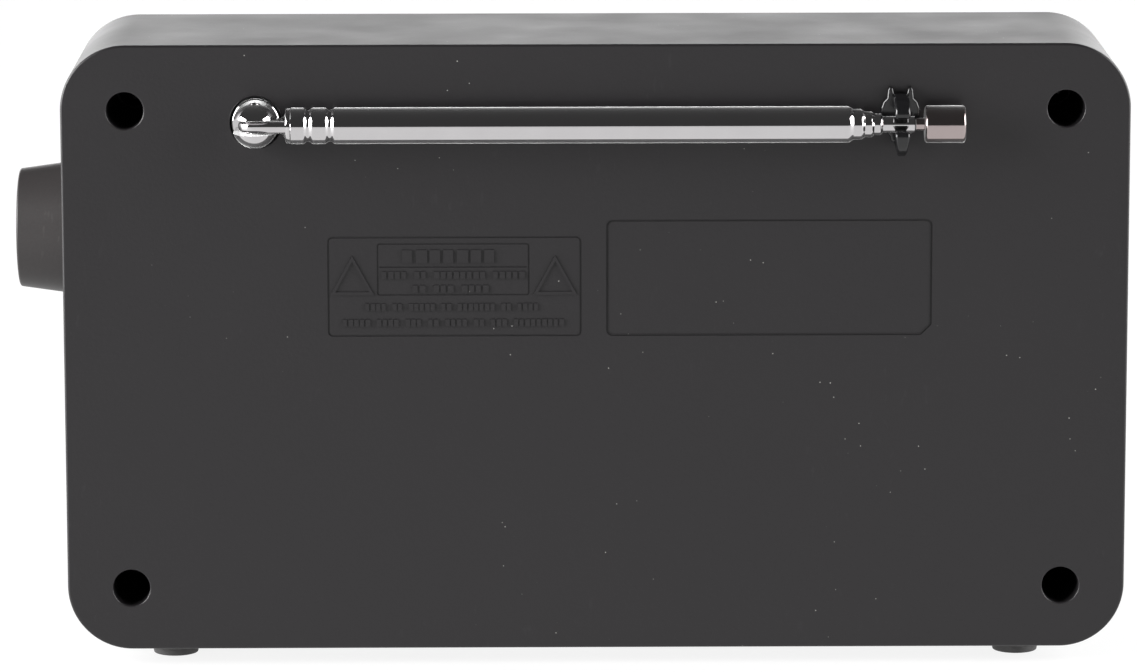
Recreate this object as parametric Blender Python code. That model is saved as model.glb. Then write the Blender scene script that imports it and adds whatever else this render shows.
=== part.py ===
"""Tabletop radio: a mains AM/FM set in a deep rear shell closed by a front panel.

All lengths below are millimetres in the case frame: x = 0 at the case's middle, y = 0 at its
mid depth (the front faces -Y, the back +Y), z = 0 under the feet. Meshes are made in metres.
"""

import math

import bmesh
import bpy
from mathutils import Matrix, Vector

MM = 0.001

# Case
CASE_WIDTH = 207.0
CASE_HEIGHT = 119.3
CASE_DEPTH = 49.0
CASE_CORNER = 12.6
FOOT_HEIGHT = 3.2
WALL = 2.2
PANEL_THICKNESS = 3.3
GAP = 0.3

FRONT = -CASE_DEPTH / 2
REAR = CASE_DEPTH / 2
SIDE = CASE_WIDTH / 2
BOTTOM = FOOT_HEIGHT
TOP = FOOT_HEIGHT + CASE_HEIGHT
MIDDLE = (TOP + BOTTOM) / 2
PANEL_BACK = FRONT + PANEL_THICKNESS
PANEL_FRONT = FRONT + 0.6
EDGE = 0.5
PANEL_EDGE = 0.4

# Case screws, in wells sunk into the back
WELL_X = 91.0
WELL_ROWS = (BOTTOM + 12.3, TOP - 12.7)
WELL_RADIUS = 3.5
WELL_WALL = 1.7
WELL_FLOOR = -5.5
WELL_FRONT = -8.0
WELL_CHAMFER = 0.45
BOSS_RADIUS = 4.5
SCREW_PILOT = 1.75
SCREW_HOLE = 1.9

# Label recess in the back: its sides, and how far down its top and bottom are
LABEL_SIDES = (-65.3, -2.0)
LABEL_DOWN = (34.2, 57.1)
LABEL_CLIPPED = 2.1
LABEL_DEPTH = 0.3

# Feet
FOOT_X = 83.15
FOOT_Y = 12.5
FOOT_STEM = 2.0
FOOT_FLANGE = 6.2

# Telescopic antenna, stowed along the back with its tip at -X
ANTENNA_Z = TOP - 15.0
ANTENNA_Y = REAR + 4.8
PIVOT_X = 65.7
POST_RADIUS = 4.375
POST_NECK = 2.5
POST_FLANGE = 4.6
POST_SHELF = 20.0
TONGUE_HALF = 1.15
SLOT_HALF = 1.45
PIN_RADIUS = 0.9
PIN_HOLE = 1.15
GROOVES = (55.4, 51.2)
GROOVE_HALF = 0.8
GROOVE_DEPTH = 0.22
ROLL = 0.6
TUBE_START = 58.75
# outer radius, bore radius, inner end and outer end of each tube
TUBES = (
    (3.5, 3.2, TUBE_START, -49.5),
    (2.95, 2.7, 48.0, -51.7),
    (2.45, 2.25, 47.0, -53.5),
    (2.05, 1.8, 46.0, -55.2),
)
ROD_RADIUS = 1.55
ROD_START = 45.0
TIP_NECK = 2.0
TIP_RADIUS = 3.6
TIP_START = -63.3
TIP_END = -71.1
CLIP_X = -58.8

# Tuning: a 12-tooth pinion on the side knob's shaft drives a 20-tooth gear and a rack
KNOB_PROUD = 10.0
SHAFT_Z = TOP - 39.3
SHAFT_RADIUS = 3.0
MODULE = 1.0
PINION_TEETH = 12
GEAR_TEETH = 20
PINION_RADIUS = MODULE * PINION_TEETH / 2
GEAR_RADIUS = MODULE * GEAR_TEETH / 2
GEAR_Z = SHAFT_Z - PINION_RADIUS - GEAR_RADIUS
RACK_HALF = 19.2
TOOTH_ROOT = 1.35
TOOTH_TOP = 0.75
ROOT_SHARE = 0.29
TOP_SHARE = 0.11
KNOB_HOLE = 4.8
KNOB_BORE = 3.3

# Front: speaker to the left, dial above the volume knob and band switch to the right
SPEAKER_X = -38.0
SPEAKER_HOLE = 35.5
GRILLE_WIDTH = 112.0
GRILLE_HEIGHT = 95.0
DIAL_X = 63.0
DIAL_WIDTH = 58.0
DIAL_HEIGHT = 44.0
VOLUME_X = 80.0
SWITCH_X = 48.0
SWITCH_TRAVEL = 5.0
LED_X = 62.0
CONTROLS_Z = 32.0
LED_Z = 41.0
LED_RADIUS = 1.5
PANEL_HOLE_RIM = 2.5
SPEAKER_SCREW_OFFSET = 34.0
GRILLE_DEEP = 1.2
WINDOW_DEEP = 1.4
SLOT_PITCH = 6.2
SLOT_HEIGHT = 2.4
SLOT_LENGTH = 96.0
VOLUME_FRONT = FRONT - 9.5

# Mains inlet and earphone socket on the -X side
INLET_Y = 6.0
INLET_Z = 30.0
INLET_FLOOR = -91.0
PIN_SPACING = 8.5
JACK_Z = 90.0
JACK_HOLE = 3.3
JACK_BARREL = 3.0
JACK_BORE = 1.8

# Boards and the parts inside
TRANSFORMER_Y, TRANSFORMER_Z = 7.2, 61.0
TRANSFORMER_LEG = 5.7
AERIAL_Y, AERIAL_Z = 8.0, 113.0
AERIAL_RADIUS = 4.0
POWER_BOARD_Z = 8.2
BOARD_THICKNESS = 1.6

# The object's box is centred on the origin: the knob reaches out at +X, and the volume knob
# and the antenna clip reach out in front and behind.
CLIP_BACK = REAR + 10.2
CENTRE_X = KNOB_PROUD / 2
CENTRE_Y = (VOLUME_FRONT + CLIP_BACK) / 2


def clear_scene():
    for obj in list(bpy.data.objects):
        bpy.data.objects.remove(obj, do_unlink=True)


# ---------------------------------------------------------------- shapes
# A shape is a bmesh in millimetres. "axis" is the direction that it is turned about or
# extruded along: a prism's outline is in (y, z) for X, (x, z) for Y and (x, y) for Z.

def place(along, first, second, axis):
    return Vector({"X": (along, first, second), "Y": (first, along, second),
                   "Z": (first, second, along)}[axis])


def finished(shape):
    bmesh.ops.recalc_face_normals(shape, faces=shape.faces)
    return shape


def prism(outline, axis, start, end, rim=0.0, both=False):
    """An extruded outline. rim rounds the edge round its end face, or round both faces."""
    shape = bmesh.new()
    corners = [shape.verts.new(place(start, a, b, axis)) for a, b in outline]
    face = shape.faces.new(corners)
    extruded = bmesh.ops.extrude_face_region(shape, geom=[face])["geom"]
    moved = [item for item in extruded if isinstance(item, bmesh.types.BMVert)]
    bmesh.ops.translate(shape, verts=moved, vec=place(end - start, 0, 0, axis))
    finished(shape)
    if rim:
        rims = (set(moved), set(corners)) if both else (set(moved),)
        edges = [edge for edge in shape.edges if any(set(edge.verts) <= ends for ends in rims)]
        bmesh.ops.bevel(shape, geom=edges, offset=rim, segments=2, profile=0.5, affect="EDGES")
    return shape


def block(low, high):
    return prism([(low[0], low[1]), (high[0], low[1]), (high[0], high[1]), (low[0], high[1])],
                 "Z", low[2], high[2])


def turned(profile, axis, first=0.0, second=0.0, steps=16):
    """A profile of (radius, place along the axis) spun about the line at (first, second)."""
    shape = bmesh.new()
    centre = place(0, first, second, axis)
    points = [shape.verts.new(centre + place(along, radius, 0, axis)) for radius, along in profile]
    pairs = list(zip(points, points[1:]))
    if profile[0][0] > 0:
        pairs.append((points[-1], points[0]))
    edges = [shape.edges.new(pair) for pair in pairs]
    bmesh.ops.spin(shape, geom=points + edges, cent=centre, axis=place(1, 0, 0, axis),
                   angle=math.tau, steps=steps, use_merge=True)
    bmesh.ops.remove_doubles(shape, verts=shape.verts, dist=0.001)
    return finished(shape)


def rod(radius, start, end, axis, first=0.0, second=0.0, steps=16):
    profile = [(0, start), (radius, start), (radius, end), (0, end)]
    return turned(profile, axis, first, second, steps)


def group(*shapes):
    """Several shapes that don't touch, in one mesh."""
    whole = bmesh.new()
    for shape in shapes:
        mesh = bpy.data.meshes.new("part_of_group")
        shape.to_mesh(mesh)
        shape.free()
        whole.from_mesh(mesh)
        bpy.data.meshes.remove(mesh)
    return whole


def rounded(width, height, radius, first=0.0, second=0.0, steps=5):
    """The outline of a rounded rectangle about (first, second)."""
    points = []
    for corner, (side, level) in enumerate(((1, 1), (-1, 1), (-1, -1), (1, -1))):
        for step in range(steps + 1):
            angle = math.radians(90 * (corner + step / steps))
            points.append((first + side * (width / 2 - radius) + radius * math.cos(angle),
                           second + level * (height / 2 - radius) + radius * math.sin(angle)))
    return points


def gear_outline(teeth, tooth_at, second=0.0):
    """Slim straight-sided teeth, one centred at the angle tooth_at, about (0, second)."""
    pitch = MODULE * teeth / 2
    pitch_angle = math.tau / teeth
    points = []
    for tooth in range(teeth):
        centre = tooth_at + tooth * pitch_angle
        for radius, share in ((pitch - TOOTH_ROOT, -ROOT_SHARE), (pitch + TOOTH_TOP, -TOP_SHARE),
                              (pitch + TOOTH_TOP, TOP_SHARE), (pitch - TOOTH_ROOT, ROOT_SHARE)):
            angle = centre + share * pitch_angle
            points.append((radius * math.cos(angle), second + radius * math.sin(angle)))
    return points


def rack_outline(half, line, back):
    """A rack along z whose pitch line is at y = line, with a gap at its middle."""
    pitch = math.pi * MODULE
    teeth = int(half / pitch - 0.5)
    root, crest = line - TOOTH_ROOT, line + TOOTH_TOP
    points = [(back, -half), (root, -half)]
    for tooth in range(-teeth, teeth):
        centre = (tooth + 0.5) * pitch
        points += [(root, centre - ROOT_SHARE * pitch), (crest, centre - TOP_SHARE * pitch),
                   (crest, centre + TOP_SHARE * pitch), (root, centre + ROOT_SHARE * pitch)]
    return points + [(root, half), (back, half)]


# ---------------------------------------------------------------- objects

PLACES = {}


def marker(name, parent=None, at=(0, 0, 0)):
    """An empty at a place in the case frame, which pieces are parented to."""
    empty = bpy.data.objects.new(name, None)
    bpy.context.scene.collection.objects.link(empty)
    PLACES[name] = Vector(at)
    if parent:
        empty.parent = bpy.data.objects[parent]
        empty.location = (PLACES[name] - PLACES[parent]) * MM
    else:
        empty.location = Vector((-CENTRE_X, -CENTRE_Y, 0)) * MM
    return name


def material(name, colour, roughness, metallic=0.0):
    found = bpy.data.materials.get(name)
    if found:
        return found
    made = bpy.data.materials.new(name)
    made.use_nodes = True
    shader = made.node_tree.nodes["Principled BSDF"]
    shader.inputs["Base Color"].default_value = (*colour, 1)
    shader.inputs["Roughness"].default_value = roughness
    shader.inputs["Metallic"].default_value = metallic
    made.diffuse_color = (*colour, 1)
    return made


def mesh_object(name, shape, parent):
    bmesh.ops.transform(shape, matrix=Matrix.Scale(MM, 4) @ Matrix.Translation(-PLACES[parent]),
                        verts=shape.verts)
    mesh = bpy.data.meshes.new(name)
    shape.to_mesh(mesh)
    shape.free()
    obj = bpy.data.objects.new(name, mesh)
    bpy.context.scene.collection.objects.link(obj)
    obj.parent = bpy.data.objects[parent]
    return obj


def piece(name, shape, finish, parent="radio", steps=()):
    """A sub-part. steps are the (operation, shape) Booleans that finish it, in order."""
    obj = mesh_object(name, shape, parent)
    obj.data.materials.append(material(*finish))
    obj.data.shade_smooth()
    obj.data.set_sharp_from_angle(angle=math.radians(32))
    for number, (operation, other) in enumerate(steps, 1):
        tool = mesh_object(f"{name}_tool_{number}", other, parent)
        tool.hide_render = True
        tool.display_type = "WIRE"
        modifier = obj.modifiers.new(f"{operation.lower()}_{number}", "BOOLEAN")
        modifier.operation = operation
        modifier.object = tool
        modifier.solver = "EXACT"
    return obj


def centred(name):
    """Moves a piece's origin to the middle of its box, so that its location says where it is."""
    obj = bpy.data.objects[name]
    corners = [Vector(corner) for corner in obj.bound_box]
    middle = sum(corners, Vector()) / len(corners)
    obj.data.transform(Matrix.Translation(-middle))
    obj.location = middle


CUT, ADD = "DIFFERENCE", "UNION"

# Finishes: name, colour, roughness and metallic value
CASE_PLASTIC = ("case_plastic", (0.042, 0.041, 0.043), 0.55)
PANEL_PLASTIC = ("panel_plastic", (0.035, 0.034, 0.036), 0.5)
GLOSS_PLASTIC = ("gloss_black_plastic", (0.012, 0.012, 0.013), 0.15)
KNOB_PLASTIC = ("knob_plastic", (0.04, 0.039, 0.041), 0.5)
GRILLE_METAL = ("grille_metal", (0.05, 0.05, 0.052), 0.4, 0.6)
CHROME = ("chrome", (0.85, 0.85, 0.86), 0.06, 1.0)
NICKEL = ("nickel", (0.72, 0.68, 0.64), 0.18, 1.0)
STEEL = ("zinc_steel", (0.55, 0.55, 0.54), 0.35, 1.0)
RUBBER = ("foot_rubber", (0.02, 0.02, 0.02), 0.85)
CLEAR = ("clear_window", (0.8, 0.82, 0.84), 0.05)
DIAL_FACE = ("dial_face", (0.82, 0.8, 0.74), 0.6)
POINTER_RED = ("pointer_red", (0.6, 0.05, 0.03), 0.4)
PAPER_CONE = ("speaker_paper", (0.03, 0.03, 0.03), 0.9)
FERRITE = ("ferrite", (0.09, 0.09, 0.095), 0.6)
BOARD = ("circuit_board", (0.33, 0.24, 0.1), 0.6)
COPPER = ("copper_winding", (0.55, 0.24, 0.1), 0.4, 0.8)
NYLON = ("nylon", (0.75, 0.72, 0.65), 0.5)
BLACK_PART = ("black_component", (0.025, 0.025, 0.025), 0.5)
AMBER = ("led_amber", (0.7, 0.25, 0.04), 0.2)


# ---------------------------------------------------------------- case

def inlet_outline(height, length):
    """The figure-eight inlet's long hole, in (y, z)."""
    return rounded(length, height, height / 2 - 0.01, INLET_Y, INLET_Z, steps=5)


def rear_shell():
    inner_width, inner_height = CASE_WIDTH - 2 * WALL, CASE_HEIGHT - 2 * WALL
    body = prism(rounded(CASE_WIDTH, CASE_HEIGHT, CASE_CORNER, 0, MIDDLE), "Y",
                 FRONT, REAR, rim=EDGE, both=True)
    cavity = prism(rounded(inner_width, inner_height, CASE_CORNER - WALL, 0, MIDDLE), "Y",
                   FRONT - 1, REAR - WALL)
    into_wall = REAR - WALL / 2
    wells = [rod(WELL_RADIUS + WELL_WALL, WELL_FRONT, into_wall, "Y", x, z)
             for x in (-WELL_X, WELL_X) for z in WELL_ROWS]
    pivot_boss = rod(7.5, 17.5, into_wall, "Y", PIVOT_X, ANTENNA_Z)
    board_posts = [rod(2.5, BOTTOM + 1, POWER_BOARD_Z - GAP, "Z", x, y, steps=8)
                   for x in (-72, -28) for y in (-8, 14)]
    board_rib = block((55.2, 14, 60), (56.7, into_wall, 98))
    mouth = WELL_RADIUS + WELL_CHAMFER
    well_profile = [(0, WELL_FRONT - 1), (SCREW_HOLE, WELL_FRONT - 1), (SCREW_HOLE, WELL_FLOOR),
                    (WELL_RADIUS, WELL_FLOOR), (WELL_RADIUS, REAR - WELL_CHAMFER),
                    (mouth, REAR), (mouth, REAR + 1), (0, REAR + 1)]
    swivel_hole, recess = POST_NECK + 0.4, POST_FLANGE + 0.4
    pivot_profile = [(0, 16), (swivel_hole, 16), (swivel_hole, POST_SHELF), (recess, POST_SHELF),
                     (recess, REAR + 1), (0, REAR + 1)]
    (left, right), (top, bottom) = LABEL_SIDES, (TOP - down for down in LABEL_DOWN)
    label = [(right, top), (left, top), (left, bottom + LABEL_CLIPPED),
             (left + LABEL_CLIPPED, bottom), (right, bottom)]
    openings = [turned(well_profile, "Y", x, z) for x in (-WELL_X, WELL_X) for z in WELL_ROWS]
    openings += [
        turned(pivot_profile, "Y", PIVOT_X, ANTENNA_Z),
        prism(label, "Y", REAR - LABEL_DEPTH, REAR + 1),
        rod(KNOB_HOLE, SIDE - 4, SIDE + 1, "X", 0, SHAFT_Z),
        rod(JACK_HOLE, -SIDE - 1, -SIDE + 4, "X", 0, JACK_Z),
        prism(inlet_outline(13.0, 21.0), "X", -SIDE - 1, -SIDE + 4),
    ]
    openings += [rod(FOOT_STEM + GAP, BOTTOM - 1, BOTTOM + 4, "Z", x, y, steps=12)
                 for x in (-FOOT_X, FOOT_X) for y in (-FOOT_Y, FOOT_Y)]
    piece("rear_shell", body, CASE_PLASTIC, steps=[
        (CUT, cavity),
        (ADD, group(*wells, pivot_boss, *board_posts, board_rib)),
        (CUT, group(*openings)),
    ])


def front_panel():
    width, height = CASE_WIDTH - 2 * (WALL + GAP), CASE_HEIGHT - 2 * (WALL + GAP)
    body = prism(rounded(width, height, CASE_CORNER - WALL - GAP, 0, MIDDLE), "Y",
                 PANEL_BACK, PANEL_FRONT, rim=PANEL_EDGE)
    end = WELL_FRONT - GAP
    boss = [(0, PANEL_BACK - 1), (BOSS_RADIUS, PANEL_BACK - 1), (BOSS_RADIUS, end),
            (SCREW_PILOT, end), (SCREW_PILOT, -18), (0, -18)]
    bosses = [turned(boss, "Y", x, z) for x in (-WELL_X, WELL_X) for z in WELL_ROWS]
    speaker_pilots = [rod(1.5, -22.3, PANEL_BACK + 1, "Y", x, z, steps=8)
                      for x, z in speaker_screw_places()]
    recesses = group(
        prism(rounded(GRILLE_WIDTH, GRILLE_HEIGHT, 7, SPEAKER_X, MIDDLE), "Y",
              FRONT - 1, PANEL_FRONT + GRILLE_DEEP),
        prism(rounded(DIAL_WIDTH, DIAL_HEIGHT, 2.5, DIAL_X, SHAFT_Z, steps=4), "Y",
              FRONT - 1, PANEL_FRONT + WINDOW_DEEP),
        rod(KNOB_HOLE, FRONT - 1, PANEL_BACK + 1, "Y", VOLUME_X, CONTROLS_Z),
        prism(rounded(7.6 + SWITCH_TRAVEL, 5.2, 0.6, SWITCH_X, CONTROLS_Z, steps=2), "Y",
              FRONT - 1, PANEL_BACK + 1),
        rod(LED_RADIUS + GAP, FRONT - 1, PANEL_BACK + 1, "Y", LED_X, LED_Z, steps=16),
        *speaker_pilots,
    )
    holes = group(
        rod(SPEAKER_HOLE, FRONT + 0.2, PANEL_BACK + 1, "Y", SPEAKER_X, MIDDLE, steps=28),
        prism(rounded(DIAL_WIDTH - 2 * PANEL_HOLE_RIM, DIAL_HEIGHT - 2 * PANEL_HOLE_RIM, 1.5,
                      DIAL_X, SHAFT_Z, steps=3), "Y", FRONT + 0.2, PANEL_BACK + 1),
    )
    piece("front_panel", body, PANEL_PLASTIC, steps=[
        (CUT, holes), (CUT, recesses), (ADD, group(*bosses)),
    ])


def speaker_grille():
    body = prism(rounded(GRILLE_WIDTH - 2 * GAP, GRILLE_HEIGHT - 2 * GAP, 7 - GAP, SPEAKER_X,
                         MIDDLE), "Y", PANEL_FRONT + GRILLE_DEEP - GAP, PANEL_FRONT + 0.1)
    levels = [MIDDLE + SLOT_PITCH * row for row in range(-6, 7)]
    slots = [block((SPEAKER_X - SLOT_LENGTH / 2, FRONT - 1, level - SLOT_HEIGHT / 2),
                   (SPEAKER_X + SLOT_LENGTH / 2, FRONT + 2, level + SLOT_HEIGHT / 2))
             for level in levels]
    piece("speaker_grille", body, GRILLE_METAL, steps=[(CUT, group(*slots))])


def dial():
    window = prism(rounded(DIAL_WIDTH - 2 * GAP, DIAL_HEIGHT - 2 * GAP, 2.5 - GAP, DIAL_X,
                           SHAFT_Z, steps=4), "Y", PANEL_FRONT + WINDOW_DEEP - GAP,
                   PANEL_FRONT + 0.1, rim=0.3)
    piece("dial_window", window, CLEAR)
    # A channel seen along X: its lips stand on the front panel, and its web is the scale.
    lips, web_back, half = PANEL_BACK + GAP, -16.3, DIAL_HEIGHT / 2
    web_front, inner = web_back - 0.9, half - 1.2
    channel = [(lips, half), (web_back, half), (web_back, -half), (lips, -half), (lips, -inner),
               (web_front, -inner), (web_front, inner), (lips, inner)]
    piece("dial_scale", prism([(y, SHAFT_Z + z) for y, z in channel], "X", 36, 85.5), DIAL_FACE)


def feet():
    profile = [(0, 0), (4.1, 0), (4.35, 0.25), (4.6, 1.6), (FOOT_FLANGE, 1.6),
               (FOOT_FLANGE, BOTTOM - GAP), (FOOT_STEM, BOTTOM - GAP), (FOOT_STEM, BOTTOM + 5),
               (0, BOTTOM + 5)]
    for depth, y in (("front", -FOOT_Y), ("rear", FOOT_Y)):
        for side, x in (("left", -FOOT_X), ("right", FOOT_X)):
            piece(f"foot_{depth}_{side}", turned(profile, "Z", x, y, steps=14), RUBBER)


def case_screws():
    profile = [(0, -17), (1.4, -17), (1.4, WELL_FLOOR + GAP), (3.0, WELL_FLOOR + GAP),
               (3.0, -4.1), (2.2, -2.9), (0, -2.6)]
    places = [(x, z) for x in (-WELL_X, WELL_X) for z in WELL_ROWS]
    for number, (x, z) in enumerate(places, 1):
        cross = [block((x - 1.4, -3.5, z - 0.35), (x + 1.4, 0, z + 0.35)),
                 block((x - 0.35, -3.5, z - 1.4), (x + 0.35, 0, z + 1.4))]
        piece(f"case_screw_{number}", turned(profile, "Y", x, z, steps=12), STEEL,
              steps=[(CUT, shape) for shape in cross])


# ---------------------------------------------------------------- speaker

def speaker_screw_places():
    offset = SPEAKER_SCREW_OFFSET
    return [(SPEAKER_X + side * offset, MIDDLE + level * offset)
            for side in (-1, 1) for level in (-1, 1)]


def speaker():
    front = PANEL_BACK + GAP
    flange = prism(rounded(78, 78, 6, SPEAKER_X, MIDDLE, steps=4), "Y", front, front + 1.0)
    opening = rod(34.6, front - 1, front + 2, "Y", SPEAKER_X, MIDDLE, steps=24)
    basket = turned([(36.2, front + 0.5), (35.5, -17), (17.5, -3.4), (6, -3.4), (6, -4.3),
                     (16.8, -4.3), (34.6, -17.5), (34.6, front + 0.5)],
                    "Y", SPEAKER_X, MIDDLE, steps=24)
    bores = [rod(1.6, front - 1, front + 2, "Y", x, z, steps=8)
             for x, z in speaker_screw_places()]
    piece("speaker_frame", flange, STEEL, steps=[
        (CUT, opening), (ADD, basket), (CUT, group(*bores)),
    ])
    cone = [(33.8, -20.2), (32.2, -21.0), (30.6, -20.2), (9.6, -9.2), (9.6, -8.6),
            (30.6, -19.5), (32.2, -20.4), (33.8, -19.6)]
    piece("speaker_cone", turned(cone, "Y", SPEAKER_X, MIDDLE, steps=24), PAPER_CONE)
    cap = [(0, -12.6), (3.5, -12.2), (6.6, -11.1), (9.2, -9.3), (9.2, -8.8), (0, -8.8)]
    piece("speaker_dust_cap", turned(cap, "Y", SPEAKER_X, MIDDLE), PAPER_CONE)
    magnet = [(0, -3.1), (16, -3.1), (16, -1.2), (19, -1.2), (19, 5.8), (16, 5.8), (16, 7.6),
              (0, 7.6)]
    piece("speaker_magnet", turned(magnet, "Y", SPEAKER_X, MIDDLE, steps=20), FERRITE)
    head = front + 1.0 + GAP
    screw = [(0, -22.0), (1.2, -22.0), (1.2, head), (2.7, head), (2.7, head + 1), (0, head + 1.7)]
    for number, (x, z) in enumerate(speaker_screw_places(), 1):
        piece(f"speaker_screw_{number}", turned(screw, "Y", x, z, steps=8), STEEL)


# ---------------------------------------------------------------- tuning

def tuning():
    marker("tuning_axis", "radio", (SIDE, 0, SHAFT_Z))
    pinion = prism(gear_outline(PINION_TEETH, math.pi, SHAFT_Z), "X", 80, 91)
    shaft = rod(SHAFT_RADIUS, 79.5, SIDE + 7, "X", 0, SHAFT_Z)
    piece("tuning_shaft", shaft, NYLON, "tuning_axis", steps=[(ADD, pinion)])
    base, face = SIDE + 0.4, SIDE + KNOB_PROUD
    knob = [(0, face), (11.0, face), (11.45, face - 0.18), (11.7, face - 0.6), (13.0, base),
            (5.4, base), (5.4, SIDE + 2.5), (KNOB_BORE, SIDE + 2.5), (KNOB_BORE, SIDE + 7.3),
            (0, SIDE + 7.3)]
    piece("tuning_knob", turned(knob, "X", 0, SHAFT_Z, steps=28), KNOB_PLASTIC, "tuning_axis")
    bushing = [(3.2, 92), (4.5, 92), (4.5, 98.3), (6.5, 98.3), (6.5, 101), (4.5, 101),
               (4.5, SIDE + 1.8), (3.2, SIDE + 1.8)]
    piece("tuning_bushing", turned(bushing, "X", 0, SHAFT_Z), STEEL)

    marker("capacitor_axis", "radio", (88.5, 0, GEAR_Z))
    half_pitch = math.pi / GEAR_TEETH
    gear = prism(gear_outline(GEAR_TEETH, math.pi / 2 + half_pitch, GEAR_Z), "X", 86.5, 90.5)
    hub = rod(3.0, 76.8, 91.5, "X", 0, GEAR_Z)
    piece("capacitor_gear", gear, NYLON, "capacitor_axis", steps=[(ADD, hub)])
    piece("tuning_capacitor", block((58.9, -10, GEAR_Z - 10), (76.4, 10, GEAR_Z + 10)), NYLON)
    centred("tuning_capacitor")
    piece("tuner_board", block((57, -13.5, 54), (57 + BOARD_THICKNESS, 19, 100)), BOARD)
    centred("tuner_board")
    piece("intermediate_coil", block((58.9, 6, 84), (70, 13, 91)), STEEL)
    centred("intermediate_coil")

    # The rack passes beside the screw well, and an arm reaches from it round the scale's end.
    marker("pointer_place", "radio", (82.7, -PINION_RADIUS, SHAFT_Z))
    back, needle_front, needle_back = -12.4, -19.6, -18.4
    teeth = [(y, SHAFT_Z + z) for y, z in rack_outline(RACK_HALF, -PINION_RADIUS, back)]
    rack = prism(teeth, "X", 80.7, 84.7)
    outline = [(81.5, back + 0.8), (81.5, back - 0.6), (87.2, back - 0.6), (87.2, needle_back),
               (40, needle_back), (40, needle_front), (90.8, needle_front), (90.8, back + 0.8)]
    arm = prism(outline, "Z", SHAFT_Z - 0.7, SHAFT_Z + 0.7)
    piece("dial_pointer", rack, POINTER_RED, "pointer_place", steps=[(ADD, arm)])


# ---------------------------------------------------------------- controls

def volume():
    marker("volume_axis", "radio", (VOLUME_X, FRONT, CONTROLS_Z))
    body = [(0, -12), (8.5, -12), (8.5, PANEL_BACK + GAP), (4.5, PANEL_BACK + GAP),
            (4.5, FRONT - 1.2), (3.25, FRONT - 1.2), (3.25, -13), (0, -13)]
    piece("volume_control", turned(body, "Y", VOLUME_X, CONTROLS_Z), STEEL)
    shaft = rod(SHAFT_RADIUS, -13.4, FRONT - 7.5, "Y", VOLUME_X, CONTROLS_Z)
    piece("volume_shaft", shaft, NYLON, "volume_axis")
    face, base = VOLUME_FRONT, FRONT - 0.4
    knob = [(0, face), (9.3, face), (9.8, face + 0.2), (10, face + 0.7), (11, base), (5.2, base),
            (5.2, FRONT - 1.8), (KNOB_BORE, FRONT - 1.8), (KNOB_BORE, FRONT - 7.8),
            (0, FRONT - 7.8)]
    mark = block((VOLUME_X - 0.45, face - 1, CONTROLS_Z + 3.5),
                 (VOLUME_X + 0.45, face + 0.4, CONTROLS_Z + 12))
    piece("volume_knob", turned(knob, "Y", VOLUME_X, CONTROLS_Z, steps=24), KNOB_PLASTIC,
          "volume_axis", steps=[(CUT, mark)])


def band_switch():
    rest = SWITCH_X - SWITCH_TRAVEL / 2
    marker("band_switch_place", "radio", (rest, FRONT, CONTROLS_Z))
    cap = prism(rounded(7, 4.6, 0.5, rest, CONTROLS_Z, steps=2), "Y", -22, FRONT - 1.8, rim=0.4)
    stem = block((rest - 1.2, -23, CONTROLS_Z - 1.2), (rest + 1.2, -18, CONTROLS_Z + 1.2))
    piece("band_switch_knob", cap, KNOB_PLASTIC, "band_switch_place", steps=[(ADD, stem)])
    body = block((SWITCH_X - 9, PANEL_BACK + GAP, CONTROLS_Z - 4),
                 (SWITCH_X + 9, -12, CONTROLS_Z + 4))
    slot = block((SWITCH_X - 4.5, PANEL_BACK - 1, CONTROLS_Z - 1.7),
                 (SWITCH_X + 4.5, -17, CONTROLS_Z + 1.7))
    piece("band_switch_body", body, BLACK_PART, steps=[(CUT, slot)])
    led = turned([(0, FRONT - 0.5), (0.8, FRONT - 0.3), (1.4, FRONT + 0.4),
                  (LED_RADIUS, FRONT + 1), (LED_RADIUS, -12), (0, -12)], "Y", LED_X, LED_Z,
                 steps=16)
    piece("power_led", led, AMBER)
    piece("control_board", block((38, -11.7, 22), (95, BOARD_THICKNESS - 11.7, 44)), BOARD)
    centred("control_board")


# ---------------------------------------------------------------- power and sockets

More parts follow.
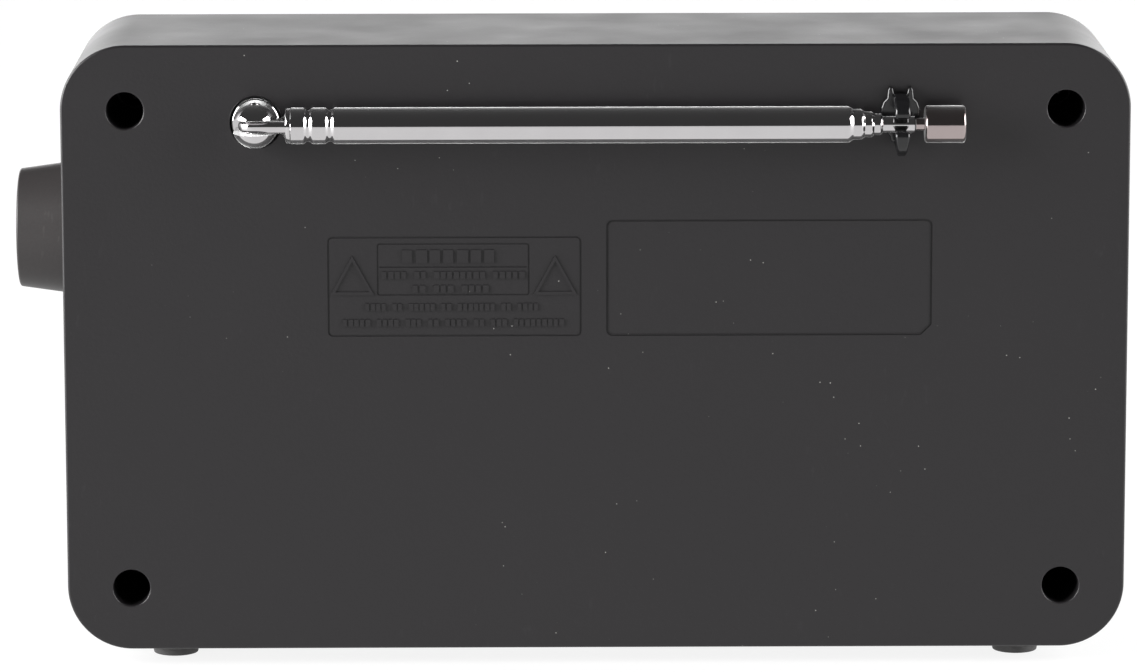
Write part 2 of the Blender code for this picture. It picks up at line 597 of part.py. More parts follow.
def power():
    cavity = prism(inlet_outline(8.8, 17.2), "X", -SIDE - 1, INLET_FLOOR)
    pins_y = (INLET_Y - PIN_SPACING / 2, INLET_Y + PIN_SPACING / 2)
    pin_holes = [rod(1.5, INLET_FLOOR - 1, -85, "X", y, INLET_Z, steps=10) for y in pins_y]
    body = prism(inlet_outline(12.4, 20.4), "X", -SIDE + 0.1, -86)
    piece("mains_inlet", body, BLACK_PART, steps=[(CUT, cavity), (CUT, group(*pin_holes))])
    pin = [(0, -100), (0.9, -99.7), (1.2, -98.9), (1.2, -83), (0, -83)]
    for number, y in enumerate(pins_y, 1):
        piece(f"mains_inlet_pin_{number}", turned(pin, "X", y, INLET_Z, steps=10), NICKEL)
    socket = block((-100.9, -6, JACK_Z - 6), (-88, 6, JACK_Z + 6))
    barrel = rod(JACK_BARREL, -SIDE + 0.2, -99, "X", 0, JACK_Z)
    bore = rod(JACK_BORE, -SIDE - 1, -90, "X", 0, JACK_Z)
    piece("earphone_socket", socket, BLACK_PART, steps=[(ADD, barrel), (CUT, bore)])

    # Transformer: laminations in the YZ plane round a wound bobbin
    y, z, leg = TRANSFORMER_Y, TRANSFORMER_Z, TRANSFORMER_LEG
    core = block((-96, y - 14.2, z - 17), (-84, y + 14.2, z + 17))
    windows = [block((-98, y - 8.5, z + side * 8.55 - 2.85), (-82, y + 8.5, z + side * 8.55 + 2.85))
               for side in (-1, 1)]
    piece("transformer_core", core, STEEL, steps=[(CUT, group(*windows))])
    bobbin = block((-100.4, y - 8.2, z - 11.1), (-79.6, y + 8.2, z + 11.1))
    tunnel = block((-96.3, y - 9, z - leg - GAP), (-83.7, y + 9, z + leg + GAP))
    piece("transformer_bobbin", bobbin, COPPER, steps=[(CUT, tunnel)])
    board_top = POWER_BOARD_Z + BOARD_THICKNESS
    piece("power_board", block((-78, -12, POWER_BOARD_Z), (-22, 18, board_top)), BOARD)
    centred("power_board")
    piece("smoothing_capacitor", rod(5.5, board_top + GAP, 26, "Z", -60, 8), BLACK_PART)


def ferrite_aerial():
    y, z, bore = AERIAL_Y, AERIAL_Z, AERIAL_RADIUS + GAP
    piece("ferrite_rod", rod(AERIAL_RADIUS, -62, 48, "X", y, z), FERRITE)
    coil = [(bore, -20), (bore + 1.4, -20), (bore + 1.4, 4), (bore, 4)]
    piece("ferrite_coil", turned(coil, "X", y, z), COPPER)
    for number, x in enumerate((-50, 36), 1):
        body = block((x - 3, 2.5, z - 5.5), (x + 3, REAR - WALL - GAP, z + 5.5))
        hole = rod(bore, x - 5, x + 5, "X", y, z)
        piece(f"ferrite_holder_{number}", body, NYLON, steps=[(CUT, hole)])


# ---------------------------------------------------------------- telescopic antenna

def antenna_mount():
    marker("antenna_swivel", "radio", (PIVOT_X, REAR, ANTENNA_Z))
    dome = [(POST_RADIUS * math.cos(math.radians(a)),
             ANTENNA_Y + POST_RADIUS * math.sin(math.radians(a))) for a in range(0, 90, 15)]
    shelf = POST_SHELF + GAP
    profile = [(0, 12.5), (POST_NECK, 12.5), (POST_NECK, shelf), (POST_FLANGE, shelf),
               (POST_FLANGE, REAR), (POST_RADIUS, REAR), *dome, (0, ANTENNA_Y + POST_RADIUS)]
    slot = block((PIVOT_X - 8, ANTENNA_Y - 3.5, ANTENNA_Z - SLOT_HALF),
                 (PIVOT_X + 8, ANTENNA_Y + 8, ANTENNA_Z + SLOT_HALF))
    pin_hole = rod(PIN_HOLE, ANTENNA_Z - 8, ANTENNA_Z + 8, "Z", PIVOT_X, ANTENNA_Y)
    piece("antenna_post", turned(profile, "Y", PIVOT_X, ANTENNA_Z), CHROME, "antenna_swivel",
          steps=[(CUT, slot), (CUT, pin_hole)])
    pin = rod(PIN_RADIUS, ANTENNA_Z - 3.9, ANTENNA_Z + 3.9, "Z", PIVOT_X, ANTENNA_Y, steps=12)
    piece("antenna_pivot_pin", pin, STEEL, "antenna_swivel")
    bore = POST_NECK + GAP
    nut = [(bore, 13.0), (bore + 1.8, 13.0), (bore + 1.8, 15.6), (bore, 15.6)]
    piece("antenna_nut", turned(nut, "Y", PIVOT_X, ANTENNA_Z, steps=18), STEEL, "antenna_swivel")
    plate = block((PIVOT_X - 6, 15.9, ANTENNA_Z - 6), (PIVOT_X + 6, 17.2, ANTENNA_Z + 6))
    piece("antenna_bracket", plate, STEEL,
          steps=[(CUT, rod(POST_NECK + 0.4, 15, 18, "Y", PIVOT_X, ANTENNA_Z))])


def antenna_tongue():
    marker("antenna_tilt", "antenna_swivel", (PIVOT_X, ANTENNA_Y, ANTENNA_Z))
    arc = [math.radians(a) for a in range(-90, 91, 15)]
    outline = [(PIVOT_X + 3.2 * math.cos(a), ANTENNA_Y + 3.2 * math.sin(a)) for a in arc]
    outline += [(PIVOT_X - 6.0, ANTENNA_Y + 3.2), (PIVOT_X - 6.0, ANTENNA_Y - 3.2)]
    plate = prism(outline, "Z", ANTENNA_Z - TONGUE_HALF, ANTENNA_Z + TONGUE_HALF)
    ferrule = turned([(0, 61.1), (1.4, 61.1), (1.9, 60.75), (2.7, 60.4), (3.45, 60.2),
                      (3.45, TUBE_START + GAP), (2.9, TUBE_START + GAP), (2.9, 49.5), (0, 49.5)],
                     "X", ANTENNA_Y, ANTENNA_Z)
    hole = rod(PIN_HOLE, ANTENNA_Z - 5, ANTENNA_Z + 5, "Z", PIVOT_X, ANTENNA_Y)
    piece("antenna_tongue", plate, CHROME, "antenna_tilt", steps=[(ADD, ferrule), (CUT, hole)])


def antenna_tubes():
    """Each tube's outer end is rolled in over the next one."""
    parent = "antenna_tilt"
    for number, (radius, bore, start, end) in enumerate(TUBES, 1):
        if number > 1:
            parent = marker(f"antenna_slide_{number}", parent, (start, ANTENNA_Y, ANTENNA_Z))
        grooves = []
        if number == 1:
            for middle in GROOVES:
                grooves += [(radius, middle + GROOVE_HALF), (radius - GROOVE_DEPTH, middle),
                            (radius, middle - GROOVE_HALF)]
        profile = [(bore, start), (radius, start), *grooves, (radius, end + ROLL),
                   (radius - 0.2, end), (bore, end)]
        piece(f"antenna_section_{number}", turned(profile, "X", ANTENNA_Y, ANTENNA_Z), CHROME,
              parent)
    parent = marker("antenna_slide_5", parent, (ROD_START, ANTENNA_Y, ANTENNA_Z))
    rod_end = TIP_START + TIP_NECK
    core = rod(ROD_RADIUS, ROD_START, rod_end, "X", ANTENNA_Y, ANTENNA_Z)
    piece("antenna_rod", core, CHROME, parent)
    tip = [(0, rod_end - GAP), (1.2, rod_end - GAP), (1.2, TIP_START),
           (3.3, TIP_START), (TIP_RADIUS, TIP_START - 0.3), (TIP_RADIUS, TIP_END + 0.5),
           (3.1, TIP_END), (0, TIP_END)]
    piece("antenna_tip", turned(tip, "X", ANTENNA_Y, ANTENNA_Z), NICKEL, parent)


def antenna_clip():
    """A snap clip: a round foot with a leg above and a leg below the stowed antenna."""
    foot = rod(3.7, REAR + GAP, REAR + 1.2, "Y", CLIP_X, ANTENNA_Z - 0.6)
    upper = [(REAR + 0.6, 6.4), (REAR + 4, 6.6), (REAR + 8.6, 5.0), (REAR + 10.0, 3.2),
             (REAR + 10.2, 1.3), (REAR + 8.4, 1.1), (REAR + 8.2, 3.4), (REAR + 0.6, 3.4)]
    lower = [(y, -z) for y, z in reversed(upper)]
    ends = CLIP_X - 1.7, CLIP_X + 1.7
    legs = [prism([(y, ANTENNA_Z + z) for y, z in leg], "X", *ends) for leg in (upper, lower)]
    bridge = block((ends[0], REAR + 0.5, ANTENNA_Z - 4), (ends[1], REAR + 1.3, ANTENNA_Z + 4))
    piece("antenna_clip", foot, GLOSS_PLASTIC,
          steps=[(ADD, bridge), (ADD, legs[0]), (ADD, legs[1])])


def build():
    clear_scene()
    marker("radio")
    rear_shell()
    front_panel()
    speaker_grille()
    dial()
    feet()
    case_screws()
    speaker()
    tuning()
    volume()
    band_switch()
    power()
    ferrite_aerial()
    antenna_mount()
    antenna_tongue()
    antenna_tubes()
    antenna_clip()


build()
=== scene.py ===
"""Looks of the tabletop radio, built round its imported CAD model.

Shapes are made in millimetres in the case's own frame: x = 0 at the case's middle, y = 0 at its
mid depth (the front faces -Y, the back +Y), z = 0 under the feet. Places come from the boxes of
the CAD nodes. Pieces are moved into the row frame, in metres, when they are made.
"""
from math import cos, radians, sin, tau

import bmesh
import bpy
from mathutils import Matrix, Vector


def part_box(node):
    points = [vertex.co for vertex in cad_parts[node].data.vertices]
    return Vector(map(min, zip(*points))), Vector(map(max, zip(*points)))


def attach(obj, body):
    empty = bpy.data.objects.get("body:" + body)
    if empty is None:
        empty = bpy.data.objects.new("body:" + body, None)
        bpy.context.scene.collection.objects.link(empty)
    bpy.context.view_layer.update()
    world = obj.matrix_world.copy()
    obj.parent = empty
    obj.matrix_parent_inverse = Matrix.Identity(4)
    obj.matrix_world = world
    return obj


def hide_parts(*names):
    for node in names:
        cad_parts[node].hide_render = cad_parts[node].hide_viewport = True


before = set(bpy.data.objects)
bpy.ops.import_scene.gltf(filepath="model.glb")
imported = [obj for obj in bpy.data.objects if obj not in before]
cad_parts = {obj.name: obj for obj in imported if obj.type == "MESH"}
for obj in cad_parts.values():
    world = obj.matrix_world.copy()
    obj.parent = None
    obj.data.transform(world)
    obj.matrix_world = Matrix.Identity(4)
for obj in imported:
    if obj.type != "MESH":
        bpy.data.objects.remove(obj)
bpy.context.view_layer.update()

MM = 0.001

low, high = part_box("rear_shell")
CASE_ORIGIN = Vector((*(low + high).xy / 2, 0)) / MM


def box(node):
    """Lowest and highest corner of a CAD node, in the case frame."""
    lowest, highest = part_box(node)
    return lowest / MM - CASE_ORIGIN, highest / MM - CASE_ORIGIN


def spot(node):
    lowest, highest = box(node)
    return (lowest + highest) / 2


def size(node):
    lowest, highest = box(node)
    return highest - lowest


# Case
CASE = size("rear_shell")
SIDE, REAR = CASE.x / 2, CASE.y / 2
FRONT = -REAR
BOTTOM, TOP = box("rear_shell")[0].z, box("rear_shell")[1].z
MIDDLE = (BOTTOM + TOP) / 2
CORNER = 12.6
EDGE = 0.5
WALL = 2.2
PANEL_FRONT = box("front_panel")[0].y
PANEL_BACK = PANEL_FRONT + 2.7
WELLS = [spot(f"case_screw_{number}") for number in range(1, 5)]
WELL_RADIUS = 3.6
WELL_FLOOR = -5.5
SCREW_HOLE = 1.9
SOFT = 0.3
FEET = ("foot_front_left", "foot_front_right", "foot_rear_left", "foot_rear_right")

# Cutters start this far outside a face, and go this far into the walls from outside
PAST = 1
THROUGH = 4

# The blank label field, and the beads in place of a moulded notice, on the back
LABEL_LEFT, LABEL_RIGHT = -65.3, -2.0
LABEL_TOP, LABEL_BOTTOM = TOP - 34.2, TOP - 57.1
LABEL_CORNER = 1.2
LABEL_CUT = 2.1
NOTICE_TOP = TOP - 37.4
NOTICE_X = 27.45
BEAD = 0.3
BEAD_ROOT = 0.3

# Antenna
ANTENNA_Y, ANTENNA_Z = spot("antenna_section_1").y, spot("antenna_section_1").z
PIVOT_X = spot("antenna_post").x
CLIP_X = spot("antenna_clip").x
PIN_HOLE = 1.15

# Controls and sockets
GRILLE = spot("speaker_grille")
DIAL = spot("dial_window")
DIAL_SIZE = size("dial_window")
VOLUME = spot("volume_knob")
SWITCH = spot("band_switch_body")
LED = spot("power_led")
KNOB = spot("tuning_knob")
INLET = spot("mains_inlet")
JACK = spot("earphone_socket")


# ---------------------------------------------------------------- shapes
# A shape is a bmesh in millimetres. "axis" is the direction that it is turned about or
# extruded along: a prism's outline is in (y, z) for X, (x, z) for Y and (x, y) for Z.

def place(along, first, second, axis):
    return Vector({"X": (along, first, second), "Y": (first, along, second),
                   "Z": (first, second, along)}[axis])


def finished(shape):
    bmesh.ops.recalc_face_normals(shape, faces=shape.faces)
    return shape


def arc(first, second, radius, start, end, steps=8):
    """Points on a circle about (first, second), between two angles in degrees."""
    angles = [radians(start + (end - start) * step / steps) for step in range(steps + 1)]
    return [(first + radius * cos(a), second + radius * sin(a)) for a in angles]


def rounded(width, height, radius, first=0.0, second=0.0, steps=10):
    """The outline of a rounded rectangle about (first, second)."""
    points = []
    for corner, (side, level) in enumerate(((1, 1), (-1, 1), (-1, -1), (1, -1))):
        points += arc(first + side * (width / 2 - radius), second + level * (height / 2 - radius),
                      radius, 90 * corner, 90 * corner + 90, steps)
    return points


def prism(outline, axis, start, end, rim=0.0, both=False, segments=3):
    """An extruded outline. rim rounds the edge round its end face, or round both faces."""
    shape = bmesh.new()
    corners = [shape.verts.new(place(start, a, b, axis)) for a, b in outline]
    face = shape.faces.new(corners)
    extruded = bmesh.ops.extrude_face_region(shape, geom=[face])["geom"]
    moved = [item for item in extruded if isinstance(item, bmesh.types.BMVert)]
    bmesh.ops.translate(shape, verts=moved, vec=place(end - start, 0, 0, axis))
    finished(shape)
    if rim:
        rims = (set(moved), set(corners)) if both else (set(moved),)
        edges = [edge for edge in shape.edges if any(set(edge.verts) <= ends for ends in rims)]
        bmesh.ops.bevel(shape, geom=edges, offset=rim, segments=segments, profile=0.5, affect="EDGES")
    return shape


def slab(width, height, radius, centre, axis, start, end, steps=10, **rims):
    """A prism with a rounded rectangle as its outline, about the centre (first, second)."""
    return prism(rounded(width, height, radius, *centre, steps), axis, start, end, **rims)


def ring(outer, inner, axis, start, end):
    """A prism with a hole along it. Both outlines have the same number of points."""
    shape = bmesh.new()
    loops = [[shape.verts.new(place(level, a, b, axis)) for a, b in outline]
             for outline, level in ((outer, start), (outer, end), (inner, end), (inner, start))]
    for near, far in zip(loops, loops[1:] + loops[:1]):
        for index in range(len(near)):
            shape.faces.new((near[index - 1], near[index], far[index], far[index - 1]))
    return finished(shape)


def block(lowest, highest, rim=0.0):
    outline = [(lowest[0], lowest[1]), (highest[0], lowest[1]), (highest[0], highest[1]),
               (lowest[0], highest[1])]
    shape = prism(outline, "Z", lowest[2], highest[2])
    if rim:
        bmesh.ops.bevel(shape, geom=list(shape.edges), offset=rim, segments=2, profile=0.5,
                        affect="EDGES")
    return shape


def turned(profile, axis, first=0.0, second=0.0, steps=64):
    """A profile of (radius, place along the axis) spun about the line at (first, second)."""
    shape = bmesh.new()
    centre = place(0, first, second, axis)
    points = [shape.verts.new(centre + place(along, radius, 0, axis)) for radius, along in profile]
    pairs = list(zip(points, points[1:]))
    if profile[0][0] > 0:
        pairs.append((points[-1], points[0]))
    edges = [shape.edges.new(pair) for pair in pairs]
    bmesh.ops.spin(shape, geom=points + edges, cent=centre, axis=place(1, 0, 0, axis),
                   angle=tau, steps=steps, use_merge=True)
    bmesh.ops.remove_doubles(shape, verts=shape.verts, dist=0.0005)
    return finished(shape)


def rod(radius, start, end, axis, first=0.0, second=0.0, steps=32):
    profile = [(0, start), (radius, start), (radius, end), (0, end)]
    return turned(profile, axis, first, second, steps)


def mesh_from(name, shape):
    mesh = bpy.data.meshes.new(name)
    shape.to_mesh(mesh)
    shape.free()
    return mesh


def linked(name, data):
    """A new object in the scene."""
    obj = bpy.data.objects.new(name, data)
    bpy.context.scene.collection.objects.link(obj)
    return obj


def group(*shapes):
    """Several shapes in one mesh."""
    whole = bmesh.new()
    for shape in shapes:
        mesh = mesh_from("part_of_group", shape)
        whole.from_mesh(mesh)
        bpy.data.meshes.remove(mesh)
    return whole


def boolean(shape, operation, tool):
    """The shape after a Boolean with another shape."""
    body, cutter = [linked("temporary", mesh_from("temporary", each)) for each in (shape, tool)]
    modifier = body.modifiers.new("boolean", "BOOLEAN")
    modifier.operation = operation
    modifier.object = cutter
    modifier.solver = "EXACT"
    bpy.context.view_layer.update()
    evaluated = body.evaluated_get(bpy.context.evaluated_depsgraph_get())
    result = bmesh.new()
    result.from_mesh(evaluated.to_mesh())
    evaluated.to_mesh_clear()
    for obj in (body, cutter):
        mesh = obj.data
        bpy.data.objects.remove(obj)
        bpy.data.meshes.remove(mesh)
    return result


def cut(shape, *tools):
    return boolean(shape, "DIFFERENCE", group(*tools))


def joined(shape, *others):
    for other in others:
        shape = boolean(shape, "UNION", other)
    return shape


def keep_flat_faces_flat(obj):
    """Weights the smooth normals by area, so that round rims don't bend the flats beside them."""
    modifier = obj.modifiers.new("weighted_normal", "WEIGHTED_NORMAL")
    modifier.keep_sharp = True
    bpy.context.view_layer.update()
    evaluated = obj.evaluated_get(bpy.context.evaluated_depsgraph_get())
    plain = obj.data
    obj.data = bpy.data.meshes.new_from_object(evaluated)
    obj.modifiers.clear()
    bpy.data.meshes.remove(plain)


def piece(name, shape, finish, body, nodes=(), sharp=32):
    """A shown piece that rides on a CAD body, and stands for the CAD nodes that it replaces."""
    move = Matrix.Scale(MM, 4) @ Matrix.Translation(CASE_ORIGIN)
    bmesh.ops.transform(shape, matrix=move, verts=shape.verts)
    mesh = mesh_from(name, shape)
    mesh.materials.append(finish)
    mesh.shade_smooth()
    mesh.set_sharp_from_angle(angle=radians(sharp))
    obj = linked(name, mesh)
    keep_flat_faces_flat(obj)
    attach(obj, body)
    if nodes:
        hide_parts(*nodes)
    return obj


# ---------------------------------------------------------------- materials

def add_node(tree, kind, **sources):
    """A new shader node. Each named input is set to a constant, or linked to an output."""
    node = tree.nodes.new(f"ShaderNode{kind}")
    for name, source in sources.items():
        socket = node.inputs[name.replace("_", " ")]
        if isinstance(source, bpy.types.NodeSocket):
            tree.links.new(source, socket)
        else:
            socket.default_value = source
    return node


class Nodes:
    """A material's node tree, with short calls for the nodes used here."""

    def __init__(self, name, roughness=0.5, metallic=0.0, **constants):
        self.material = bpy.data.materials.new(name)
        self.material.use_nodes = True
        self.tree = self.material.node_tree
        self.shader = self.tree.nodes["Principled BSDF"]
        self.shader.inputs["Roughness"].default_value = roughness
        self.shader.inputs["Metallic"].default_value = metallic
        for key, value in constants.items():
            self.shader.inputs[key.replace("_", " ")].default_value = value
        self.places = add_node(self.tree, "TexCoord").outputs["Object"]

    def link(self, source, target):
        self.tree.links.new(source, target)

    def stretched(self, scale):
        """Object coordinates scaled by a vector, for grain that runs along one direction."""
        return add_node(self.tree, "Mapping", Scale=scale, Vector=self.places).outputs["Vector"]

    def noise(self, per_metre, detail=2.0, places=None, roughness=0.5):
        node = add_node(self.tree, "TexNoise", Scale=per_metre, Detail=detail,
                        Roughness=roughness, Vector=places or self.places)
        return node.outputs["Fac"]

    def cells(self, per_metre):
        """Distance from the nearest of many scattered points."""
        node = add_node(self.tree, "TexVoronoi", Scale=per_metre, Vector=self.places)
        return node.outputs["Distance"]

    def bands(self, per_metre, direction, distortion):
        node = add_node(self.tree, "TexWave", Scale=per_metre, Distortion=distortion,
                        Vector=self.places)
        node.bands_direction = direction
        return node.outputs["Fac"]

    def scuffs(self, strength):
        """Sparse fine scratches, as a factor up to strength."""
        streaks = self.noise(1.0, 2, self.stretched((900, 140, 260)))
        patches = self.ranged(self.noise(35, 2), 0.5, 0.65, 0, strength)
        return self.multiplied(self.ranged(streaks, 0.66, 0.72, 0, 1), patches)

    def ranged(self, value, from_low, from_high, to_low, to_high):
        node = add_node(self.tree, "MapRange", Value=value, From_Min=from_low,
                        From_Max=from_high, To_Min=to_low, To_Max=to_high)
        return node.outputs["Result"]

    def multiplied(self, first, second):
        node = self.tree.nodes.new("ShaderNodeMath")
        node.operation = "MULTIPLY"
        self.link(first, node.inputs[0])
        self.link(second, node.inputs[1])
        return node.outputs[0]

    def mixed(self, factor, first, second):
        """A colour between two colours, each of which is a tuple or another node's output."""
        node = self.tree.nodes.new("ShaderNodeMix")
        node.data_type = "RGBA"
        self.link(factor, node.inputs["Factor"])
        # A Mix node has sockets for every data type: these three are the ones for colours
        first_socket, second_socket, result = node.inputs[6], node.inputs[7], node.outputs[2]
        for colour, socket in ((first, first_socket), (second, second_socket)):
            if isinstance(colour, tuple):
                socket.default_value = (*colour, 1)
            else:
                self.link(colour, socket)
        return result

    def colour(self, source):
        self.link(source, self.shader.inputs["Base Color"])

    def roughness(self, source):
        self.link(source, self.shader.inputs["Roughness"])

    def uneven_roughness(self, per_metre, detail, lowest, highest):
        self.roughness(self.ranged(self.noise(per_metre, detail), 0.3, 0.7, lowest, highest))

    def mottled(self, factor, colour, darkest, palest):
        """A colour that varies between two shades of it."""
        return self.mixed(factor, shade(colour, darkest), shade(colour, palest))

    def bump(self, *layers):
        """layers are (height output, depth in metres), stacked one on another."""
        normal = None
        for height, depth in layers:
            node = add_node(self.tree, "Bump", Distance=depth, Height=height)
            if normal:
                self.link(normal, node.inputs["Normal"])
            normal = node.outputs["Normal"]
        self.link(normal, self.shader.inputs["Normal"])


def shade(colour, factor):
    return tuple(min(1.0, channel * factor) for channel in colour)


def moulded_plastic(name, colour, roughness, grain=0.012, dust=0.0, wear=0.25, **constants):
    """Moulded plastic with a fine matte grain, cloudy tone, faint scuffs and specks of dust."""
    nodes = Nodes(name, **constants)
    tone = nodes.mottled(nodes.noise(22, 3), colour, 0.93, 1.07)
    tone = nodes.mixed(nodes.ranged(nodes.noise(2600, 2), 0.35, 0.65, 0, 1), tone, shade(colour, 1.1))
    tone = nodes.mixed(nodes.scuffs(wear), tone, shade(colour, 2.6))
    if dust:
        speck = nodes.ranged(nodes.cells(430), 0.03, 0.055, 1, 0)
        sparse = nodes.ranged(nodes.noise(60, 2), 0.57, 0.62, 0, dust)
        tone = nodes.mixed(nodes.multiplied(speck, sparse), tone, (0.5, 0.49, 0.47))
    nodes.colour(tone)
    nodes.uneven_roughness(55, 3, roughness - 0.03, roughness + 0.03)
    nodes.bump((nodes.noise(1500, 3), grain * MM), (nodes.noise(9, 1), 0.05 * MM))
    return nodes.material


def polished_metal(name, colour, roughness, ripple=0.004, smudge=0.05, **constants):
    """Plated metal: faint smudges, a trace of waviness and hair-fine polishing lines."""
    nodes = Nodes(name, metallic=1.0, **constants)
    haze = nodes.noise(160, 4)
    nodes.colour(nodes.mottled(haze, colour, 0.94, 1.04))
    nodes.roughness(nodes.ranged(nodes.noise(240, 5, roughness=0.7), 0.4, 0.75, roughness,
                                 roughness + smudge))
    lines = nodes.noise(900, 3, nodes.stretched((0.04, 1, 1)))
    nodes.bump((nodes.noise(330, 2), ripple * MM), (lines, 0.3 * ripple * MM))
    return nodes.material


def plain_metal(name, colour, roughness, **constants):
    """Zinc-plated or drawn steel with a brushed grain and cloudy plating."""
    nodes = Nodes(name, metallic=1.0, **constants)
    cloud = nodes.noise(120, 4)
    tone = nodes.mottled(cloud, colour, 0.78, 1.1)
    nodes.colour(nodes.mixed(nodes.scuffs(0.6), tone, shade(colour, 1.35)))
    grain = nodes.noise(1500, 3, nodes.stretched((0.06, 1, 1)))
    nodes.roughness(nodes.ranged(grain, 0.3, 0.7, roughness - 0.08, roughness + 0.12))
    nodes.bump((grain, 0.01 * MM))
    return nodes.material


def painted_metal(name, colour, roughness):
    """Satin paint over sheet metal, with orange peel and a few pale scuffs."""
    nodes = Nodes(name)
    tone = nodes.mottled(nodes.noise(30, 3), colour, 0.9, 1.1)
    nodes.colour(nodes.mixed(nodes.scuffs(0.3), tone, (0.2, 0.2, 0.2)))
    nodes.uneven_roughness(300, 3, roughness - 0.05, roughness + 0.08)
    nodes.bump((nodes.noise(1100, 2), 0.008 * MM))
    return nodes.material


def rubber(name, colour):
    nodes = Nodes(name)
    dusty = nodes.ranged(nodes.noise(260, 5), 0.45, 0.75, 0, 0.5)
    nodes.colour(nodes.mixed(dusty, colour, shade(colour, 2.2)))
    nodes.uneven_roughness(700, 3, 0.62, 0.8)
    nodes.bump((nodes.noise(2400, 3), 0.02 * MM))
    return nodes.material


def clear_plastic(name, colour, roughness):
    """Clear moulded plastic with faint wiping marks."""
    nodes = Nodes(name, roughness, Transmission_Weight=1.0, IOR=1.49)
    nodes.colour(nodes.mottled(nodes.noise(40, 2), colour, 0.99, 1.01))
    wiped = nodes.noise(260, 4, nodes.stretched((0.12, 1, 1)))
    nodes.roughness(nodes.ranged(wiped, 0.5, 0.8, roughness, roughness + 0.05))
    nodes.bump((nodes.noise(14, 1), 0.01 * MM))
    return nodes.material


def printed(name, colour, roughness):
    """A printed or painted surface: slight mottling, rough at the scale of the ink."""
    nodes = Nodes(name)
    nodes.colour(nodes.mottled(nodes.noise(420, 4), colour, 0.9, 1.05))
    nodes.uneven_roughness(1800, 3, roughness - 0.06, roughness + 0.08)
    nodes.bump((nodes.noise(3000, 3), 0.004 * MM))
    return nodes.material


def pressed_paper(name, colour):
    """Speaker paper: matted fibres and a slightly uneven dye."""
    nodes = Nodes(name)
    fibres = nodes.noise(1600, 6, roughness=0.75)
    nodes.colour(nodes.mottled(fibres, colour, 0.6, 1.7))
    nodes.roughness(nodes.ranged(fibres, 0.3, 0.7, 0.78, 0.95))
    nodes.bump((fibres, 0.12 * MM))
    return nodes.material


def ceramic(name, colour):
    nodes = Nodes(name)
    specks = nodes.cells(2200)
    nodes.colour(nodes.mottled(specks, colour, 0.7, 1.3))
    nodes.uneven_roughness(900, 4, 0.5, 0.7)
    nodes.bump((nodes.noise(1300, 4), 0.03 * MM))
    return nodes.material


def board(name, colour):
    """Phenolic board with the cloudy weave of its paper."""
    nodes = Nodes(name)
    weave = nodes.bands(900, "Z", 2.0)
    tone = nodes.mottled(weave, colour, 0.88, 1.08)
    nodes.colour(nodes.mixed(nodes.ranged(nodes.noise(90, 4), 0.4, 0.6, 0, 1), tone, shade(colour, 0.8)))
    nodes.uneven_roughness(400, 3, 0.42, 0.6)
    nodes.bump((weave, 0.01 * MM))
    return nodes.material


def winding(name, colour):
    """Enamelled wire wound side by side, with painted shade in the grooves between turns and painted
    light on their crowns.
    """
    nodes = Nodes(name, metallic=0.8)
    turns = nodes.bands(420, "X", 0.4)
    # Painted shade and light: the colour is darker in the grooves between turns, where the bump is
    # lowest, and paler on the crowns
    nodes.colour(nodes.mottled(turns, colour, 0.45, 1.25))
    nodes.roughness(nodes.ranged(turns, 0, 1, 0.5, 0.28))
    nodes.bump((turns, 0.2 * MM))
    return nodes.material


def tinted_lens(name, colour):
    """The power light's tinted dome."""
    nodes = Nodes(name, 0.12, Transmission_Weight=0.45, IOR=1.5)
    nodes.colour(nodes.mottled(nodes.noise(600, 3), colour, 0.8, 1.15))
    nodes.uneven_roughness(900, 3, 0.08, 0.18)
    nodes.bump((nodes.noise(500, 2), 0.01 * MM))
    return nodes.material


CASE_COLOUR = (0.0108, 0.0098, 0.0108)
case_plastic = moulded_plastic("moulded_case", CASE_COLOUR, 0.41, grain=0.026, dust=0.9,
                               Specular_IOR_Level=0.4)
panel_plastic = moulded_plastic("moulded_panel", (0.014, 0.014, 0.015), 0.44)
knob_plastic = moulded_plastic("satin_knob", (0.032, 0.0292, 0.0292), 0.42, grain=0.004,
                               Specular_IOR_Level=0.3)
gloss_plastic = moulded_plastic("gloss_clip", (0.006, 0.006, 0.0065), 0.2, grain=0.003, wear=0.1)
socket_plastic = moulded_plastic("socket_plastic", (0.016, 0.016, 0.016), 0.45, grain=0.006)
chrome = polished_metal("polished_chrome", (0.55, 0.538, 0.545), 0.03, Sheen_Weight=1.0,
                        Sheen_Roughness=0.3)
nickel = polished_metal("warm_nickel", (0.39, 0.333, 0.328), 0.07, ripple=0.006,
                        Sheen_Weight=1.0, Sheen_Roughness=0.3)
steel = plain_metal("zinc_plate", (0.5, 0.5, 0.49), 0.34)
black_screw = plain_metal("blackened_screw", (0.1, 0.1, 0.1), 0.42)
grille_paint = painted_metal("grille_paint", (0.03, 0.03, 0.031), 0.42)
foot_rubber = rubber("foot_rubber_grain", (0.035, 0.034, 0.034))
window_plastic = clear_plastic("clear_lens", (0.97, 0.98, 0.98), 0.02)
dial_print = printed("dial_card", (0.78, 0.76, 0.69), 0.55)
dark_ink = printed("dark_ink", (0.02, 0.02, 0.022), 0.5)
red_ink = printed("red_ink", (0.5, 0.03, 0.02), 0.45)
white_ink = printed("white_ink", (0.72, 0.72, 0.7), 0.5)
pointer_red = printed("pointer_paint", (0.62, 0.035, 0.02), 0.35)
cone_paper = pressed_paper("cone_paper", (0.022, 0.022, 0.022))
ferrite = ceramic("ferrite_ceramic", (0.075, 0.075, 0.08))
phenolic = board("phenolic_board", (0.33, 0.22, 0.09))
copper = winding("enamelled_wire", (0.62, 0.27, 0.11))
nylon = moulded_plastic("nylon_part", (0.7, 0.67, 0.6), 0.42, grain=0.01, wear=0.1)
black_part = moulded_plastic("component_case", (0.02, 0.02, 0.02), 0.42)
amber = tinted_lens("amber_lens", (0.8, 0.26, 0.04))


# ---------------------------------------------------------------- case

